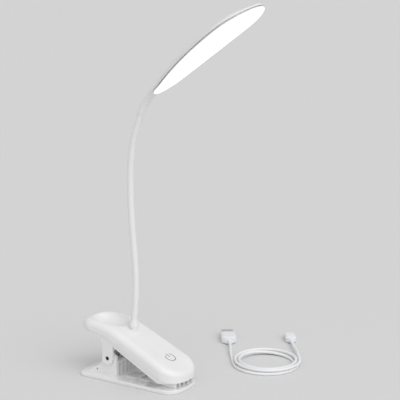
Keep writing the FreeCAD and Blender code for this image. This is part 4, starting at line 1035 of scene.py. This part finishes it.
def make_spring():
    """The torsion spring: a leg on the jaw, turns round the pin and a leg under the lever."""
    start = math.radians(SPRING_LOWER_ANGLE - 90)
    sweep = math.radians(180 - SPRING_LOWER_ANGLE - SPRING_UPPER_ANGLE + 360 * SPRING_TURNS)
    steps = SPRING_STEPS_PER_TURN * SPRING_TURNS
    path = []
    for step in range(steps + 1):
        share = step / steps
        turn = start + sweep * share
        spot = Vector((math.cos(turn), 0, math.sin(turn))) * SPRING_RADIUS
        spot.y = SPRING_WIDTH * (share - 0.5)
        path.append(PIN_PLACE + spot)
    first = Vector((math.sin(start), 0, -math.cos(start)))
    last = Vector((-math.sin(start + sweep), 0, math.cos(start + sweep)))
    path.insert(0, path[0] + first * SPRING_LOWER_LEG)
    path.append(path[-1] + last * SPRING_UPPER_LEG)
    piece = dressed(tube("clip_spring", path, SPRING_WIRE_RADIUS, SPRING_SIDES), "steel")
    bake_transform(piece)
    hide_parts("torsion_spring")


def make_pad(node, body, tooth, teeth_up):
    """A rubber pad with rounded ridges along the jaw."""
    low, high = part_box(node)
    ridge_run = (high.y - low.y) / (PAD_RIDGES - PAD_GROOVE_SHARE)
    face = high.z if teeth_up else low.z
    away = -1 if teeth_up else 1
    outline = []
    for step in range(PAD_STEPS + 1):
        y = between(low.y, high.y, step / PAD_STEPS)
        phase = (y - low.y) / ridge_run % 1
        ridge_end = 1 - PAD_GROOVE_SHARE
        inside = min(phase, ridge_end - phase) / ridge_end
        rise = eased(inside / PAD_FLANK_SHARE) if phase < ridge_end else 0.0
        outline.append((y, face + away * tooth * (1 - rise)))
    rings = []
    stations = [(low.x + PAD_ROUND * run, sink) for run, sink in PAD_END_SHARES]
    stations += [(high.x - PAD_ROUND * run, sink) for run, sink in reversed(PAD_END_SHARES)]
    for x, sink in stations:
        ring = [Vector((x, y, z + away * PAD_ROUND * sink)) for y, z in outline]
        slope = max(0.0, 1 - (x - low.x) / PAD_SINK_RUN)
        back = low.z if teeth_up else high.z - PAD_SINK * slope
        ring += [Vector((x, high.y, back)), Vector((x, low.y, back))]
        rings.append(ring)
    piece = dressed(skinned(node + "_rubber", rings), "grip_rubber")
    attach(piece, body)
    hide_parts(node)


# Stage


def make_floor():
    mesh = bpy.data.meshes.new("floor")
    corners = [(-1, -1), (1, -1), (1, 1), (-1, 1)]
    mesh.from_pydata([(x * FLOOR_HALF, y * FLOOR_HALF, 0) for x, y in corners], [], [(0, 1, 2, 3)])
    floor = bpy.data.objects.new("floor", mesh)
    bpy.context.scene.collection.objects.link(floor)
    material, main = shader("floor")
    main.inputs["Base Color"].default_value = (*FLOOR_COLOR, 1)
    main.inputs["Roughness"].default_value = FLOOR_ROUGHNESS
    main.inputs["Specular IOR Level"].default_value = FLOOR_SPECULAR
    mesh.materials.append(material)


def make_world():
    """Even light from all round; the camera and reflections see the backdrop's grey."""
    world = bpy.data.worlds.new("studio")
    world.use_nodes = True
    tree = world.node_tree
    light = tree.nodes["Background"]
    light.inputs["Color"].default_value = (1, 1, 1, 1)
    light.inputs["Strength"].default_value = SKY_STRENGTH
    backdrop = tree.nodes.new("ShaderNodeBackground")
    backdrop.inputs["Color"].default_value = (*BACKDROP_COLOR, 1)
    path = tree.nodes.new("ShaderNodeLightPath")
    seen = path.outputs["Is Camera Ray"]
    for ray in ("Is Glossy Ray", "Is Transmission Ray"):
        either = tree.nodes.new("ShaderNodeMath")
        either.operation = "MAXIMUM"
        tree.links.new(seen, either.inputs[0])
        tree.links.new(path.outputs[ray], either.inputs[1])
        seen = either.outputs["Value"]
    mix = tree.nodes.new("ShaderNodeMixShader")
    tree.links.new(seen, mix.inputs["Fac"])
    tree.links.new(light.outputs["Background"], mix.inputs[1])
    tree.links.new(backdrop.outputs["Background"], mix.inputs[2])
    tree.links.new(mix.outputs["Shader"], tree.nodes["World Output"].inputs["Surface"])
    bpy.context.scene.world = world


def make_sun(name, strength, source):
    data = bpy.data.lights.new(name, "SUN")
    data.energy = strength
    data.angle = SUN_SOFTNESS
    sun = bpy.data.objects.new(name, data)
    sun.rotation_euler = (-source).to_track_quat("-Z", "Y").to_euler()
    bpy.context.scene.collection.objects.link(sun)


def dress_nodes():
    """Every CAD node that still shows takes the material of its slot in the record."""
    for part in frame["record"]["subparts"]:
        dressed(nodes[part["node"]], part["material_slot"])
    # The pin takes the steel with painted shade at its ends
    dressed(nodes["pivot_pin"], "steel", MATERIALS["pin_steel_painted_shade"])


make_camera()
dress_nodes()
make_cable()
make_neck()
make_head_shell()
make_diffuser()
make_spring()
make_pad("lower_grip_pad", "jaw", LOWER_TOOTH, True)
make_pad("upper_grip_pad", "lever", UPPER_TOOTH, False)
make_floor()
make_world()
make_sun("key", SUN_STRENGTH, SUN_FROM)
make_sun("fill", FILL_STRENGTH, FILL_FROM)
bpy.context.scene.view_settings.view_transform = "Standard"
